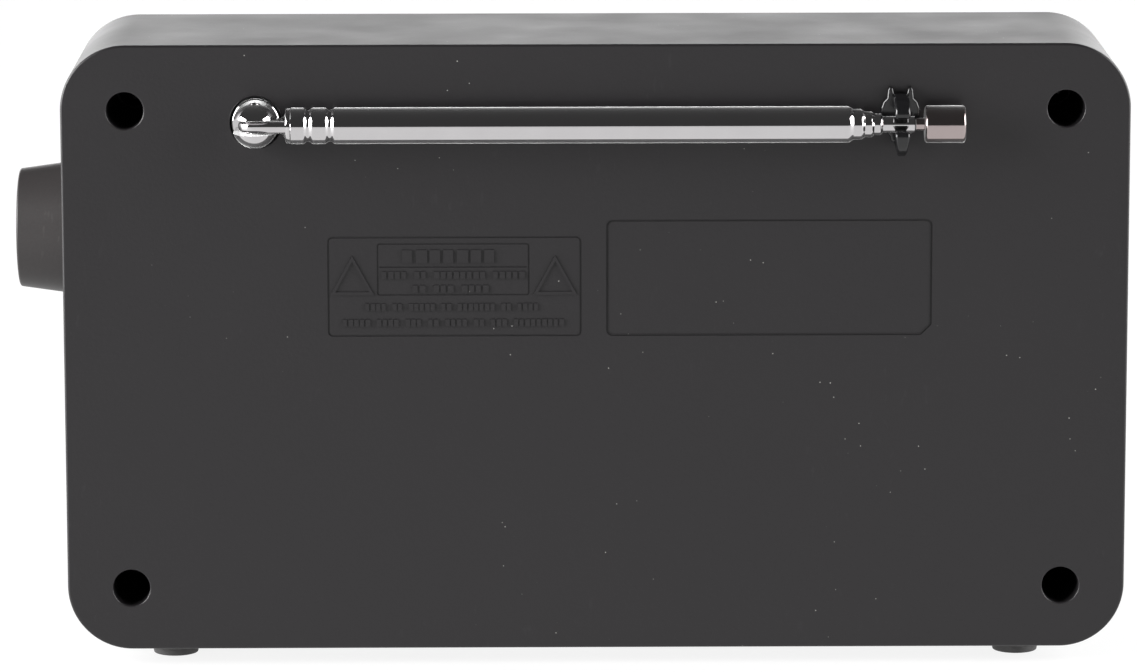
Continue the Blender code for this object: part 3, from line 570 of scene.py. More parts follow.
def well_profile():
    """A screw well from the floor's clearance hole out to its softened mouth."""
    rim = WELL_RADIUS + SOFT
    mouth = arc(rim, REAR - SOFT, SOFT, 180, 90, 4)
    return [(0, -9), (SCREW_HOLE, -9), (SCREW_HOLE, WELL_FLOOR), (WELL_RADIUS, WELL_FLOOR),
            *mouth, (rim, REAR + PAST), (0, REAR + PAST)]


def groove(width, height, radius, x, z, line, depth):
    """A cutter for a rounded rectangular groove in the back."""
    return ring(rounded(width, height, radius, x, z, steps=5),
                rounded(width - 2 * line, height - 2 * line, radius - line, x, z, steps=5),
                "Y", REAR - depth, REAR + PAST)


def label_outline(inset=0.0):
    """The label field: three round corners, and one cut off."""
    left, right = LABEL_LEFT + inset, LABEL_RIGHT - inset
    top, bottom = LABEL_TOP - inset, LABEL_BOTTOM + inset
    radius, clipped = LABEL_CORNER - inset / 2, LABEL_CUT - inset / 2
    return [*arc(right - radius, top - radius, radius, 0, 90, 5),
            *arc(left + radius, top - radius, radius, 90, 180, 5),
            (left, bottom + clipped), (left + clipped, bottom),
            *arc(right - radius, bottom + radius, radius, 270, 360, 5)]


def bead_triangle(x, base, height, width):
    """A raised triangular outline with nothing in it."""
    outer = [(x - width / 2, base), (x + width / 2, base), (x, base + height)]
    centre = Vector((x, base + height * 0.36))
    inner = [tuple(centre + (Vector(point) - centre) * 0.78) for point in outer]
    return ring(outer, inner, "Y", REAR - BEAD_ROOT, REAR + BEAD)


def bead_row(start, end, z, height, groups):
    """Plain raised dashes of uneven widths, set out in groups: nothing is spelled."""
    step = (start - end) / (sum(groups) + len(groups) - 1)
    dashes = []
    place_number = 0
    for group_number, count in enumerate(groups):
        for dash in range(count):
            right = start - (place_number + dash) * step
            wide = step * (0.72 + 0.06 * ((dash * 5 + group_number) % 3))
            dashes.append(block((right - wide, REAR - BEAD_ROOT, z - height / 2),
                                (right, REAR + BEAD, z + height / 2)))
        place_number += count + 1
    return dashes


def notice_beads():
    """Rows of dashes and two empty triangles, where a moulded notice would be."""
    # Where each row starts and ends in x, its level and height, and the dashes in its groups
    rows = ((37.6, 19.0, NOTICE_TOP - 3.9, 2.5, (7,)),
            (41.6, 13.6, NOTICE_TOP - 7.6, 1.4, (4, 2, 8, 5)),
            (35.6, 20.6, NOTICE_TOP - 10.3, 1.4, (2, 3, 4)),
            (44.8, 11.0, NOTICE_TOP - 13.9, 1.4, (4, 2, 5, 2, 7, 2, 4)),
            (49.2, 6.0, NOTICE_TOP - 17.0, 1.4, (5, 4, 3, 2, 4, 2, 3, 9)))
    beads = [dash for row in rows for dash in bead_row(*row)]
    triangles = [bead_triangle(x, NOTICE_TOP - 11.5, 7.7, 8.5) for x in (47.3, 7.9)]
    return beads + triangles


def case_supports():
    """Screw posts, the antenna's boss, the tuner board's rib and the power board's pillars."""
    into_wall = REAR - WALL / 2
    posts = [rod(5.2, -8.0, into_wall, "Y", well.x, well.z) for well in WELLS]
    pivot_boss = rod(7.5, 17.5, into_wall, "Y", PIVOT_X, ANTENNA_Z)
    board_rib = block((55.2, 14, 60), (56.7, into_wall, 98))
    pillars = [rod(2.5, BOTTOM + 1, 7.9, "Z", x, y, steps=16) for x in (-72, -28) for y in (-8, 14)]
    return group(*posts, pivot_boss, board_rib, *pillars)


def case_openings():
    """Cutters for the wells, the antenna's pivot, the knob's shaft, the sockets and the feet."""
    wells = [turned(well_profile(), "Y", well.x, well.z) for well in WELLS]
    recess_edge = arc(5.3, REAR - SOFT, SOFT, 180, 90, 3)
    pivot = [(0, 16), (2.9, 16), (2.9, 20), (5.0, 20), *recess_edge, (5.3, REAR + PAST), (0, REAR + PAST)]
    jack = [(0, -SIDE - PAST), (3.7, -SIDE - PAST), (3.7, -SIDE), (3.3, -SIDE + 0.4),
            (3.3, -SIDE + THROUGH), (0, -SIDE + THROUGH)]
    inlet = rounded(21.0, 13.0, 6.49, INLET.y, INLET.z, steps=12)
    feet = [rod(2.3, BOTTOM - PAST, BOTTOM + THROUGH, "Z", spot(foot).x, spot(foot).y, steps=24)
            for foot in FEET]
    return [*wells,
            turned(pivot, "Y", PIVOT_X, ANTENNA_Z),
            rod(4.8, SIDE - THROUGH, SIDE + PAST, "X", KNOB.y, KNOB.z),
            turned(jack, "X", JACK.y, JACK.z),
            prism(inlet, "X", -SIDE - PAST, -SIDE + THROUGH),
            *feet]


def case_shell():
    body = prism(rounded(CASE.x, CASE.z, CORNER, 0, MIDDLE, steps=24), "Y", FRONT, REAR,
                 rim=EDGE, both=True, segments=4)
    inside = rounded(CASE.x - 2 * WALL, CASE.z - 2 * WALL, CORNER - WALL, 0, MIDDLE, steps=16)
    body = cut(body, prism(inside, "Y", FRONT - PAST, REAR - WALL))
    body = joined(body, case_supports())
    body = cut(body, *case_openings())
    body = cut(body, prism(label_outline(0.4), "Y", REAR - 0.08, REAR + PAST),
               groove(49.3, 19.7, 1.0, NOTICE_X, NOTICE_TOP - 9.85, 0.36, 0.26))
    body = cut(body, ring(label_outline(), label_outline(0.36), "Y", REAR - 0.28, REAR + PAST),
               groove(29.6, 10.3, 0.5, 27.7, NOTICE_TOP - 6.45, 0.3, 0.22),
               block((13.4, REAR - 0.22, NOTICE_TOP - 6.15),
                     (42.0, REAR + PAST, NOTICE_TOP - 5.85)))
    body = joined(body, group(*notice_beads()))
    piece("case_shell", body, case_plastic, "cabinet", ["rear_shell"])


def chamfered_hole(radius, centre, steps=64):
    """A cutter for a round hole through the panel, with a chamfered mouth."""
    chamfer = 0.4
    mouth = radius + chamfer
    profile = [(0, PANEL_FRONT - PAST), (mouth, PANEL_FRONT - PAST), (mouth, PANEL_FRONT),
               (radius, PANEL_FRONT + chamfer), (radius, PANEL_BACK + PAST),
               (0, PANEL_BACK + PAST)]
    return turned(profile, "Y", centre.x, centre.z, steps)


def front_fascia():
    width, height = size("front_panel").x, size("front_panel").z
    body = prism(rounded(width, height, CORNER - WALL - 0.3, 0, MIDDLE, steps=20), "Y",
                 PANEL_BACK, PANEL_FRONT, rim=0.4, segments=3)
    grille = size("speaker_grille")
    hole_start, behind = PANEL_FRONT - 0.4, PANEL_BACK + PAST
    holes = group(
        rod(35.5, hole_start, behind, "Y", GRILLE.x, MIDDLE, steps=72),
        prism(rounded(DIAL_SIZE.x - 4.4, DIAL_SIZE.z - 4.4, 1.5, DIAL.x, DIAL.z, steps=4), "Y",
              hole_start, behind),
    )
    recess_start = PANEL_FRONT - 1.6
    recesses = group(
        prism(rounded(grille.x + 0.6, grille.z + 0.6, 7, GRILLE.x, MIDDLE), "Y", recess_start,
              PANEL_FRONT + 1.2),
        prism(rounded(DIAL_SIZE.x + 0.6, DIAL_SIZE.z + 0.6, 2.5, DIAL.x, DIAL.z), "Y",
              recess_start, PANEL_FRONT + 1.4),
        chamfered_hole(4.8, VOLUME),
        prism(rounded(12.6, 5.2, 0.6, SWITCH.x, SWITCH.z, steps=4), "Y", PANEL_FRONT - PAST,
              behind),
        chamfered_hole(1.8, LED, steps=32),
        *[rod(1.5, -22.3, behind, "Y", GRILLE.x + side * 34, MIDDLE + level * 34, steps=16)
          for side in (-1, 1) for level in (-1, 1)],
    )
    body = cut(cut(body, holes), recesses)
    boss = [(0, PANEL_BACK - 1), (4.5, PANEL_BACK - 1), (4.5, -8.3), (1.75, -8.3), (1.75, -18), (0, -18)]
    body = joined(body, group(*[turned(boss, "Y", well.x, well.z, steps=32) for well in WELLS]))
    piece("front_fascia", body, panel_plastic, "cabinet", ["front_panel"])


def control_dots():
    """Raised dots round the volume knob's travel, and one beyond each end of the band switch."""
    travel, circle = 150, 14.2
    dots = []
    for angle in range(-travel, travel + 1, 30):
        across = circle * sin(radians(angle))
        up = circle * cos(radians(angle))
        dots.append((VOLUME.x + across, VOLUME.z + up, 0.35 + 0.25 * (angle + travel) / (2 * travel)))
    dots += [(SWITCH.x - 9, SWITCH.z, 0.5), (SWITCH.x + 9, SWITCH.z, 0.5)]
    marks = [turned([(0, PANEL_FRONT - 0.12), (radius * 0.8, PANEL_FRONT - 0.1),
                     (radius, PANEL_FRONT - 0.02), (radius, PANEL_FRONT + 0.2),
                     (0, PANEL_FRONT + 0.2)], "Y", x, z, steps=20) for x, z, radius in dots]
    piece("control_dots", group(*marks), white_ink, "cabinet")


def grille_plate():
    """A plate with rows of round-ended slots."""
    low, high = box("speaker_grille")
    outline = rounded(size("speaker_grille").x, size("speaker_grille").z, 6.7, GRILLE.x, MIDDLE)
    body = prism(outline, "Y", high.y, low.y, rim=0.25, segments=2)
    slots = [prism(rounded(96.0, 2.4, 1.19, GRILLE.x, MIDDLE + 6.2 * row, steps=6), "Y",
                   PANEL_FRONT - PAST, PANEL_FRONT + 2) for row in range(-6, 7)]
    piece("grille_plate", cut(body, *slots), grille_paint, "cabinet", ["speaker_grille"])


def round_feet():
    """Feet with a groove round them, a dished sole and a stem into the case's bottom."""
    profile = [(0, 0.3), (3.1, 0.3), (3.4, 0), (4.2, 0), *arc(4.2, 0.2, 0.2, -80, -10, 3),
               (4.6, 1.7), *arc(6.0, 1.9, 0.2, -90, 0, 3), (6.2, BOTTOM - 0.1),
               (2.0, BOTTOM - 0.1), (2.0, 8.2), (0, 8.2)]
    for foot in FEET:
        shape = turned(profile, "Z", spot(foot).x, spot(foot).y)
        piece(f"round_{foot}", shape, foot_rubber, "cabinet", [foot])


def well_screws():
    """Domed screws with a crossed slot, each turned a little further than the last."""
    head = [(0, -17), (1.4, -17), (1.4, -5.2), (3.0, -5.2), (3.0, -4.2),
            *arc(0, -6.9, 4.0, 41.5, 90, 8)[:-1], (0, -2.9)]
    for count, well in enumerate(WELLS, 1):
        body = turned(head, "Y", well.x, well.z, steps=40)
        turn = Matrix.Rotation(radians(25 * count), 3, "Y")
        for wide, tall in ((1.5, 0.3), (0.3, 1.5)):
            outline = [(-wide, -tall), (wide, -tall), (wide, tall), (-wide, tall)]
            slot = prism(outline, "Y", -4.4, 0)
            bmesh.ops.rotate(slot, verts=slot.verts, matrix=turn)
            bmesh.ops.translate(slot, verts=slot.verts, vec=(well.x, 0, well.z))
            body = cut(body, slot)
        piece(f"well_screw_{count}", body, black_screw, "cabinet", [f"case_screw_{count}"])


# ---------------------------------------------------------------- controls

def knob_shape(axis, centre, base, face, wide, narrow):
    """A hollow conical knob with a softly rounded rim, from its base out to its face."""
    first, second = (centre.y, centre.z) if axis == "X" else (centre.x, centre.z)
    flip = 1 if face > base else -1
    rim = 0.5
    edge = [(narrow - rim + rim * sin(radians(a)),
             face - flip * (rim - rim * cos(radians(a)))) for a in range(0, 86, 12)]
    socket, socket_end, ceiling = 3.3, base + flip * 7.0, base + flip * 2.1
    profile = [(0, face - flip * 0.12), (narrow * 0.7, face - flip * 0.05), *edge,
               (wide - 0.06, base + flip * 0.35), (wide, base + flip * 0.18),
               (wide - 0.18, base), (5.3, base), (5.3, ceiling), (socket, ceiling),
               (socket, socket_end), (0, socket_end)]
    return turned(profile, axis, first, second, steps=128)


def knobs():
    low, high = box("tuning_knob")
    shape = knob_shape("X", KNOB, low.x, high.x, 13.0, 11.7)
    piece("tuning_dial_knob", shape, knob_plastic, "tuning_spindle", ["tuning_knob"])
    low, high = box("volume_knob")
    face = low.y
    shape = knob_shape("Y", VOLUME, high.y, face, 11.0, 10.0)
    mark = prism(rounded(0.9, 7.0, 0.44, VOLUME.x, VOLUME.z + 6.0, steps=6), "Y", face - PAST, face + 0.5)
    piece("volume_dial_knob", cut(shape, mark), knob_plastic, "volume_spindle",
          ["volume_knob"])
    ink = prism(rounded(0.7, 6.6, 0.34, VOLUME.x, VOLUME.z + 5.9, steps=6), "Y", face + 0.9, face + 0.35)
    piece("volume_mark", ink, white_ink, "volume_spindle")


def band_switch():
    """A slider cap with four grooves across it, on a stem through the panel."""
    low, high = box("band_switch_knob")
    x, z = (low.x + high.x) / 2, (low.z + high.z) / 2
    cap = prism(rounded(7, 4.6, 0.5, x, z, steps=4), "Y", -22, low.y, rim=0.4)
    half = 0.25
    grooves = [block((x + side * 0.9 - half, low.y - PAST, z - 3),
                     (x + side * 0.9 + half, low.y + 0.35, z + 3))
               for side in range(-3, 4, 2)]
    stem = block((x - 1.2, -23, z - 1.2), (x + 1.2, high.y, z + 1.2))
    piece("band_slider_cap", cut(joined(cap, stem), *grooves), knob_plastic, "band_slider",
          ["band_switch_knob"])


def power_light():
    front, back = box("power_led")[0].y, box("power_led")[1].y
    radius = 1.5
    angles = [radians(a) for a in range(10, 91, 10)]
    dome = [(radius * sin(a), front + radius - radius * cos(a)) for a in angles]
    profile = [(0, front), *dome, (radius, back), (0, back)]
    piece("amber_light", turned(profile, "Y", LED.x, LED.z, steps=40), amber, "cabinet",
          ["power_led"])


def characters(text, x, z, card):
    """Printed characters, centred at (x, z) on the dial card."""
    curve = bpy.data.curves.new("characters", "FONT")
    curve.body = text
    curve.size = 3.4
    curve.extrude = 0.05
    curve.align_x = "CENTER"
    curve.align_y = "CENTER"
    curve.resolution_u = 3
    obj = linked("characters", curve)
    bpy.context.view_layer.update()
    evaluated = obj.evaluated_get(bpy.context.evaluated_depsgraph_get())
    shape = bmesh.new()
    shape.from_mesh(evaluated.to_mesh())
    evaluated.to_mesh_clear()
    bpy.data.objects.remove(obj)
    bpy.data.curves.remove(curve)
    bmesh.ops.remove_doubles(shape, verts=shape.verts, dist=0.0005)
    upright = Matrix.Translation((x, card - 0.02, z)) @ Matrix.Rotation(radians(90), 4, "X")
    bmesh.ops.transform(shape, matrix=upright, verts=shape.verts)
    return shape


def dial_display():
    """The clear lens, and two scales of ticks with generic numbers beside them."""
    low, high = box("dial_window")
    lens = prism(rounded(DIAL_SIZE.x, DIAL_SIZE.z, 2.2, DIAL.x, DIAL.z), "Y", high.y,
                 low.y, rim=0.35, segments=3)
    piece("dial_lens", lens, window_plastic, "cabinet", ["dial_window"])

    card = box("dial_scale")[0].y + 3.7
    left, right, line = 52.0, 74.0, 0.3
    levels = [DIAL.z - 15 + 6 * step for step in range(6)]

    def ink(x_start, x_end, z, half=0.12):
        return block((x_start, card - 0.06, z - half), (x_end, card + 0.1, z + half))

    ticks = [ink(left, left + line, DIAL.z, 16.5), ink(right - line, right, DIAL.z, 16.5)]
    for level in levels:
        ticks += [ink(left, left + 4, level, 0.18), ink(right - 4, right, level, 0.18)]
        if level < levels[-1]:
            for part in range(1, 6):
                ticks += [ink(left, left + 2, level + part), ink(right - 2, right, level + part)]
    piece("dial_ticks", group(*ticks), dark_ink, "cabinet")
    columns = ((46.2, "FM", ("88", "92", "96", "100", "104", "108")),
               (79.8, "AM", ("53", "60", "70", "90", "120", "160")))
    numbers = [characters(text, x, level, card) for x, _, texts in columns
               for text, level in zip(texts, levels)]
    piece("dial_numbers", group(*numbers), dark_ink, "cabinet")
    names = [characters(name, x, DIAL.z - 18.4, card) for x, name, _ in columns]
    piece("dial_band_names", group(*names), red_ink, "cabinet")


def mains_inlet():
    """A socket with a waist rib at its top and bottom, and two round-ended contacts."""
    pitch = 4.25
    body = prism(rounded(20.4, 12.4, 6.19, INLET.y, INLET.z, steps=12), "X", -86, -SIDE + 0.1, rim=0.35)
    cavity = prism(rounded(17.2, 8.8, 4.39, INLET.y, INLET.z, steps=12), "X", -SIDE - PAST, -91)
    ribs = [prism(rounded(2.4, 1.2, 0.3, INLET.y, INLET.z + side * 4.6, steps=3), "X",
                  -SIDE + 0.5, -91.2) for side in (-1, 1)]
    holes = [rod(1.5, -92, -85, "X", INLET.y + side * pitch, INLET.z, steps=20) for side in (-1, 1)]
    body = joined(cut(cut(body, cavity), *holes), *ribs)
    piece("inlet_socket", body, socket_plastic, "cabinet", ["mains_inlet"])
    contact = [(0, -100), *arc(0, -98.8, 1.2, -90, 0, 8)[1:], (1.2, -83), (0, -83)]
    for count, side in enumerate((-1, 1), 1):
        shape = turned(contact, "X", INLET.y + side * pitch, INLET.z, steps=32)
        piece(f"inlet_contact_{count}", shape, nickel, "cabinet", [f"mains_inlet_pin_{count}"])


def earphone_jack():
    low, high = box("earphone_socket")
    mouth = low.x
    housing = block((-100.9, low.y, low.z), high, rim=0.3)
    barrel = rod(3.0, mouth, -99, "X", JACK.y, JACK.z, steps=48)
    bore = rod(1.8, -SIDE - PAST, -90, "X", JACK.y, JACK.z, steps=40)
    piece("jack_body", cut(joined(housing, barrel), bore), socket_plastic, "cabinet",
          ["earphone_socket"])
    collar = [(1.5, mouth + 3.0), (1.5, mouth + 0.1), (1.7, mouth - 0.1), (2.4, mouth - 0.1),
              (2.6, mouth + 0.05), (2.6, mouth + 0.3), (1.78, mouth + 0.3), (1.78, mouth + 3.0)]
    piece("jack_collar", turned(collar, "X", JACK.y, JACK.z, steps=48), nickel, "cabinet")


# ---------------------------------------------------------------- antenna

def antenna_hinge():
    """The post's slotted dome with its neck, and the pin across it."""
    tip = box("antenna_post")[1].y
    radius = 4.375
    dome = arc(0, tip - radius, radius, 0, 90, 18)[:-1]
    profile = [(0, 12.5), (2.5, 12.5), (2.5, 20.3), (4.6, 20.3), (4.6, REAR - 0.15),
               (4.5, REAR), (radius, REAR + 0.1), *dome, (0, tip)]
    body = turned(profile, "Y", PIVOT_X, ANTENNA_Z, steps=96)
    slot_half = 1.45
    slot = block((PIVOT_X - 8, ANTENNA_Y - 3.5, ANTENNA_Z - slot_half),
                 (PIVOT_X + 8, ANTENNA_Y + 8, ANTENNA_Z + slot_half))
    hole = rod(PIN_HOLE, ANTENNA_Z - 8, ANTENNA_Z + 8, "Z", PIVOT_X, ANTENNA_Y)
    piece("hinge_post", cut(cut(body, slot), hole), chrome, "antenna_base",
          ["antenna_post"], sharp=40)
    end = 3.9
    pin = [(0, ANTENNA_Z - end), (0.75, ANTENNA_Z - end), (1.1, ANTENNA_Z - end + 0.3),
           (1.1, ANTENNA_Z + end - 0.3), (0.75, ANTENNA_Z + end), (0, ANTENNA_Z + end)]
    piece("hinge_pin", turned(pin, "Z", PIVOT_X, ANTENNA_Y, steps=32), steel, "antenna_base",
          ["antenna_pivot_pin"])


def antenna_neck():
    """The tongue's round-edged plate, which flares into the ferrule under the first tube."""
    radius, thickness = 3.2, 2.3
    outline = [(PIVOT_X + radius * cos(radians(a)),
                ANTENNA_Y + radius * sin(radians(a))) for a in range(-90, 91, 6)]
    outline += [(PIVOT_X - 6.4, ANTENNA_Y + radius), (PIVOT_X - 6.4, ANTENNA_Y - radius)]
    plate = prism(outline, "Z", ANTENNA_Z - thickness / 2, ANTENNA_Z + thickness / 2, rim=0.95,
                  both=True, segments=6)
    start = box("antenna_section_1")[1].x
    flare = arc(2.85, start + 2.55, 1.5, 180, 270, 8)
    profile = [(0, start + 3.1), (1.3, start + 3.1), *flare, (3.15, start + 0.98),
               (3.35, start + 0.8), (3.35, start + 0.12), (2.6, start + 0.05),
               (2.6, start - 9.2), (0, start - 9.2)]
    ferrule = turned(profile, "X", ANTENNA_Y, ANTENNA_Z, steps=80)
    hole = rod(PIN_HOLE, ANTENNA_Z - 5, ANTENNA_Z + 5, "Z", PIVOT_X, ANTENNA_Y)
    piece("hinge_tongue", cut(joined(plate, ferrule), hole), chrome, "antenna_arm",
          ["antenna_tongue"], sharp=50)


def crimp(radius, x, depth, half):
    """A rolled groove in a tube, with soft shoulders, in a profile that runs towards -X."""
    slopes = ((1, 0), (0.8, 0.08), (0.62, 0.32), (0.38, 0.72), (0.2, 0.93), (0, 1))
    near = [(radius - depth * down, x + half * out) for out, down in slopes]
    return near + [(r, 2 * x - along) for r, along in reversed(near[:-1])]


def telescope():
    """Four tubes, each rolled in over the next at its outer end, then the rod and its cap."""
    # Each tube's body, bore and length of rolled end
    tubes = (("antenna_arm", 3.2, 1.25), ("antenna_stage_2", 2.7, 0.9),
             ("antenna_stage_3", 2.25, 0.75), ("antenna_stage_4", 1.8, 0.65))
    radii = [size(f"antenna_section_{count}").z / 2 for count in range(1, 5)]
    radii.append(size("antenna_rod").z / 2)
    slopes = ((1, 0), (0.75, 0.06), (0.5, 0.28), (0.27, 0.62), (0.1, 0.88), (0, 1))
    for index, (body, bore, roll) in enumerate(tubes):
        node = f"antenna_section_{index + 1}"
        low, high = box(node)
        start, end = high.x, low.x
        radius, lip = radii[index], radii[index + 1] + 0.04
        shoulder = [(radius + (lip - radius) * down, end + roll * out) for out, down in slopes]
        outside, inside = [], []
        if index == 0:
            for x in (start - 3.35, start - 7.55):
                outside += crimp(radius, x, 0.5, 1.0)
                inside = [(bore, x - 1.0), (2.7, x - 0.3), (2.7, x + 0.3), (bore, x + 1.0), *inside]
        profile = [(bore, start - 0.05), (bore + 0.1, start), (radius - 0.08, start),
                   (radius, start - 0.08), *outside, *shoulder, (lip, end + 0.2),
                   (bore, end + roll), *inside]
        tube = turned(profile, "X", ANTENNA_Y, ANTENNA_Z, steps=96)
        piece(f"antenna_tube_{index + 1}", tube, chrome, body, [node], sharp=40)
    low, high = box("antenna_rod")
    radius, start, end = radii[-1], high.x, low.x
    profile = [(0, start), (radius - 0.2, start), (radius, start - 0.2), (radius, end), (0, end)]
    piece("antenna_core", turned(profile, "X", ANTENNA_Y, ANTENNA_Z), chrome, "antenna_stage_5",
          ["antenna_rod"])
    low, high = box("antenna_tip")
    radius, start, end = (high.z - low.z) / 2, high.x, low.x
    neck, neck_end, edge = 1.2, start - 1.7, 0.55
    profile = [(0, start), (neck, start), (neck, neck_end),
               *arc(radius - edge, neck_end - edge, edge, 90, 0, 6),
               *arc(radius - edge, end + edge, edge, 0, -80, 6), (radius * 0.6, end), (0, end)]
    piece("antenna_cap", turned(profile, "X", ANTENNA_Y, ANTENNA_Z, steps=80), nickel,
          "antenna_stage_5", ["antenna_tip"])


def snap_clip():
    """A crown-shaped plate with a glossy leg above and below the antenna."""
    x, z, half = CLIP_X, ANTENNA_Z, 1.5
    side = ((0, 5.3), (1.2, 5.4), (1.5, 6.6), (2.1, 6.8), (2.45, 6.2), (2.6, 4.6), (3.3, 3.9),
            (3.75, 2.6), (3.75, 0.4), (3.2, -1.4), (2.0, -2.8), (1.7, -3.9))
    crown = [(x + across, z + up) for across, up in side]
    crown += [(x - across, z + up) for across, up in reversed(side[1:])]
    body = prism(crown, "Y", REAR + 0.3, REAR + 1.7, rim=0.45)
    # Each leg's outline, as how far out from the back and how far up from the antenna's axis
    upper = ((0.8, 5.5), (3.0, 5.6), (6.0, 5.4), (8.2, 4.9), (9.6, 3.9), (10.2, 2.7), (9.9, 1.9),
             (9.1, 1.6), (8.3, 2.2), (7.2, 3.2), (5.5, 3.8), (0.8, 3.7))
    lower = ((0.8, -3.7), (5.5, -3.8), (7.0, -2.8), (7.9, -1.5), (8.8, -0.8), (9.7, -0.9),
             (10.2, -1.8), (9.8, -3.6), (8.6, -5.2), (6.0, -6.0), (3.0, -5.6), (1.6, -4.6),
             (0.8, -4.4))
    legs = [prism([(REAR + out, z + up) for out, up in leg], "X", x - half, x + half, rim=0.6,
                  both=True, segments=4) for leg in (upper, lower)]
    # The lower leg narrows by up to two fifths towards its end
    for vertex in legs[1].verts:
        narrowing = min(1.0, max(0.0, (z - 1.5 - vertex.co.z) / 4))
        vertex.co.x = x + (vertex.co.x - x) * (1 - 0.4 * narrowing)
    piece("snap_clip", joined(body, *legs), gloss_plastic, "cabinet",
          ["antenna_clip"], sharp=50)


# ---------------------------------------------------------------- inside

def paper_cone():
    """A half-round surround and a straight cone, as one sheet half a millimetre thick."""
    front = box("speaker_frame")[0].y
    cone = [(33.8, front + 0.75), *arc(32.2, front + 0.75, 1.6, 0, -180, 8)[1:]]
    cone += [(30.2 - 3.4 * step, front + 1.1 + 1.72 * step) for step in range(7)]
    back = [(radius - 0.1, along + 0.5) for radius, along in reversed(cone)]
    piece("paper_cone", turned(cone + back, "Y", GRILLE.x, MIDDLE, steps=96), cone_paper,
          "cabinet", ["speaker_cone"])


def dress_carried_nodes():
    """Procedural finishes for the CAD nodes that stay."""
    finishes = {
        steel: ("speaker_frame", "speaker_screw_1", "speaker_screw_2", "speaker_screw_3",
                "speaker_screw_4", "tuning_bushing", "intermediate_coil", "volume_control",
                "transformer_core", "antenna_nut", "antenna_bracket"),
        dial_print: ("dial_scale",),
        pointer_red: ("dial_pointer",),
        cone_paper: ("speaker_dust_cap",),
        ferrite: ("speaker_magnet", "ferrite_rod"),
        phenolic: ("control_board", "tuner_board", "power_board"),
        copper: ("transformer_bobbin", "ferrite_coil"),
        nylon: ("tuning_shaft", "volume_shaft", "capacitor_gear", "tuning_capacitor",
                "ferrite_holder_1", "ferrite_holder_2"),
        black_part: ("band_switch_body", "smoothing_capacitor"),
    }
    for finish, names in finishes.items():
        for name in names:
            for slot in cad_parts[name].material_slots:
                slot.material = finish


# ---------------------------------------------------------------- stage, lights and camera

def floor():
    surface = Nodes("pale_floor", 0.7, Emission_Color=(1, 1, 1, 1), Emission_Strength=0.87)
    surface.colour(surface.mixed(surface.noise(3, 2), (0.085, 0.085, 0.085), (0.1, 0.1, 0.1)))
    shape = bmesh.new()
    bmesh.ops.create_circle(shape, cap_ends=True, segments=96, radius=12.0)
    mesh = mesh_from("floor", shape)
    mesh.materials.append(surface.material)
    linked("floor", mesh)


def softbox(name, azimuth, elevation, distance, width, height, power):
    """An area light aimed at the radio. Azimuth 0 is behind the camera, +90 on its right."""
    target = Vector((0, 0, 0.06))
    light = bpy.data.lights.new(name, "AREA")
    light.shape = "RECTANGLE"
    light.size, light.size_y = width, height
    light.energy = power
    obj = linked(name, light)
    obj.visible_camera = False
    turn, lift = radians(azimuth), radians(elevation)
    towards = Vector((-sin(turn) * cos(lift), cos(turn) * cos(lift), sin(lift)))
    obj.location = target + towards * distance
    obj.rotation_mode = "QUATERNION"
    obj.rotation_quaternion = towards.to_track_quat("Z", "Y")


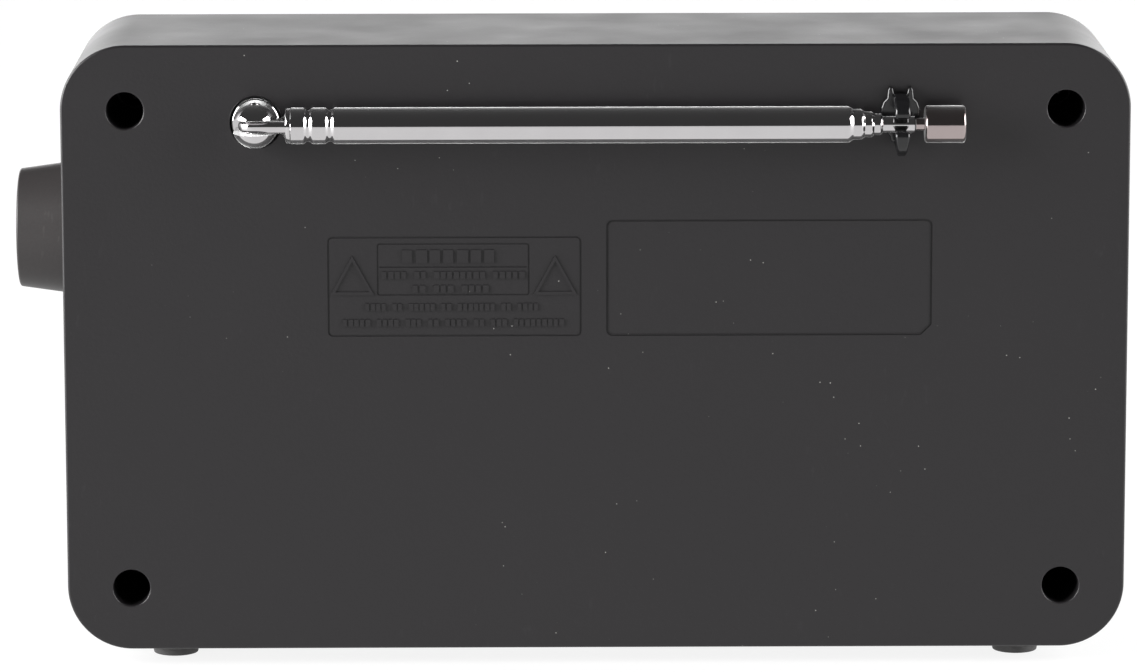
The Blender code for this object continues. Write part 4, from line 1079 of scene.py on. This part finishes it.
def surroundings():
    """A dark studio with a pale backdrop, low down on the far side."""
    studio, backdrop, seen_directly = 0.055, 3.3, 0.97
    world = bpy.data.worlds.new("studio")
    bpy.context.scene.world = world
    world.use_nodes = True
    tree = world.node_tree
    background = tree.nodes["Background"]
    direction = add_node(tree, "TexCoord").outputs["Generated"]
    parts = add_node(tree, "SeparateXYZ", Vector=direction).outputs
    bright = add_node(tree, "Math")
    bright.operation = "MULTIPLY"
    # Where the backdrop starts and where it is full: towards the far side, then downwards
    for socket, source, start, full in ((0, "Y", 0.25, -0.3), (1, "Z", 0.36, 0.14)):
        part = add_node(tree, "MapRange", Value=parts[source], From_Min=start, From_Max=full)
        part.interpolation_type = "SMOOTHSTEP"
        tree.links.new(part.outputs["Result"], bright.inputs[socket])
    strength = add_node(tree, "MapRange", Value=bright.outputs[0], To_Min=studio, To_Max=backdrop)
    to_camera = add_node(tree, "LightPath").outputs["Is Camera Ray"]
    seen = add_node(tree, "MapRange", Value=to_camera, To_Min=strength.outputs["Result"],
                    To_Max=seen_directly)
    tree.links.new(seen.outputs["Result"], background.inputs["Strength"])
    background.inputs["Color"].default_value = (1, 1, 1, 1)


def lights():
    """Two tall softboxes that graze the back from both sides."""
    softbox("left_softbox", azimuth=-74, elevation=17, distance=1.3, width=1.0, height=0.85, power=48)
    softbox("right_softbox", azimuth=77, elevation=20, distance=1.3, width=1.0, height=0.95, power=29)


# The camera's turn about the case, in degrees, and its distance and shift, in millimetres
CAMERA_PITCH, CAMERA_YAW, CAMERA_ROLL = 10.235, 0.391, 0.1
CAMERA_DISTANCE, CAMERA_RIGHT, CAMERA_UP = 1160.9, -5.34, 2.49
CAMERA_LENS = 188.9


def camera():
    data = bpy.data.cameras.new("camera")
    data.lens = CAMERA_LENS
    obj = linked("camera", data)
    turn = (Matrix.Rotation(radians(CAMERA_ROLL), 3, "Z")
            @ Matrix.Rotation(radians(CAMERA_PITCH), 3, "X")
            @ Matrix.Rotation(radians(CAMERA_YAW), 3, "Y")).transposed()
    # The back view's right, up and outward directions, in the row frame
    back_view = Matrix(((-1, 0, 0), (0, 0, 1), (0, 1, 0)))
    offset = back_view @ turn @ Vector((CAMERA_RIGHT, CAMERA_UP, CAMERA_DISTANCE))
    location = (CASE_ORIGIN + Vector((0, REAR, MIDDLE)) + offset) * MM
    obj.matrix_world = Matrix.Translation(location) @ (back_view @ turn).to_4x4()
    data.clip_start, data.clip_end = 0.1, 50
    bpy.context.scene.camera = obj


case_shell()
front_fascia()
control_dots()
grille_plate()
round_feet()
well_screws()
knobs()
band_switch()
power_light()
dial_display()
mains_inlet()
earphone_jack()
antenna_hinge()
antenna_neck()
telescope()
snap_clip()
paper_cone()
dress_carried_nodes()
floor()
surroundings()
lights()
camera()
bpy.context.scene.view_settings.view_transform = "Standard"
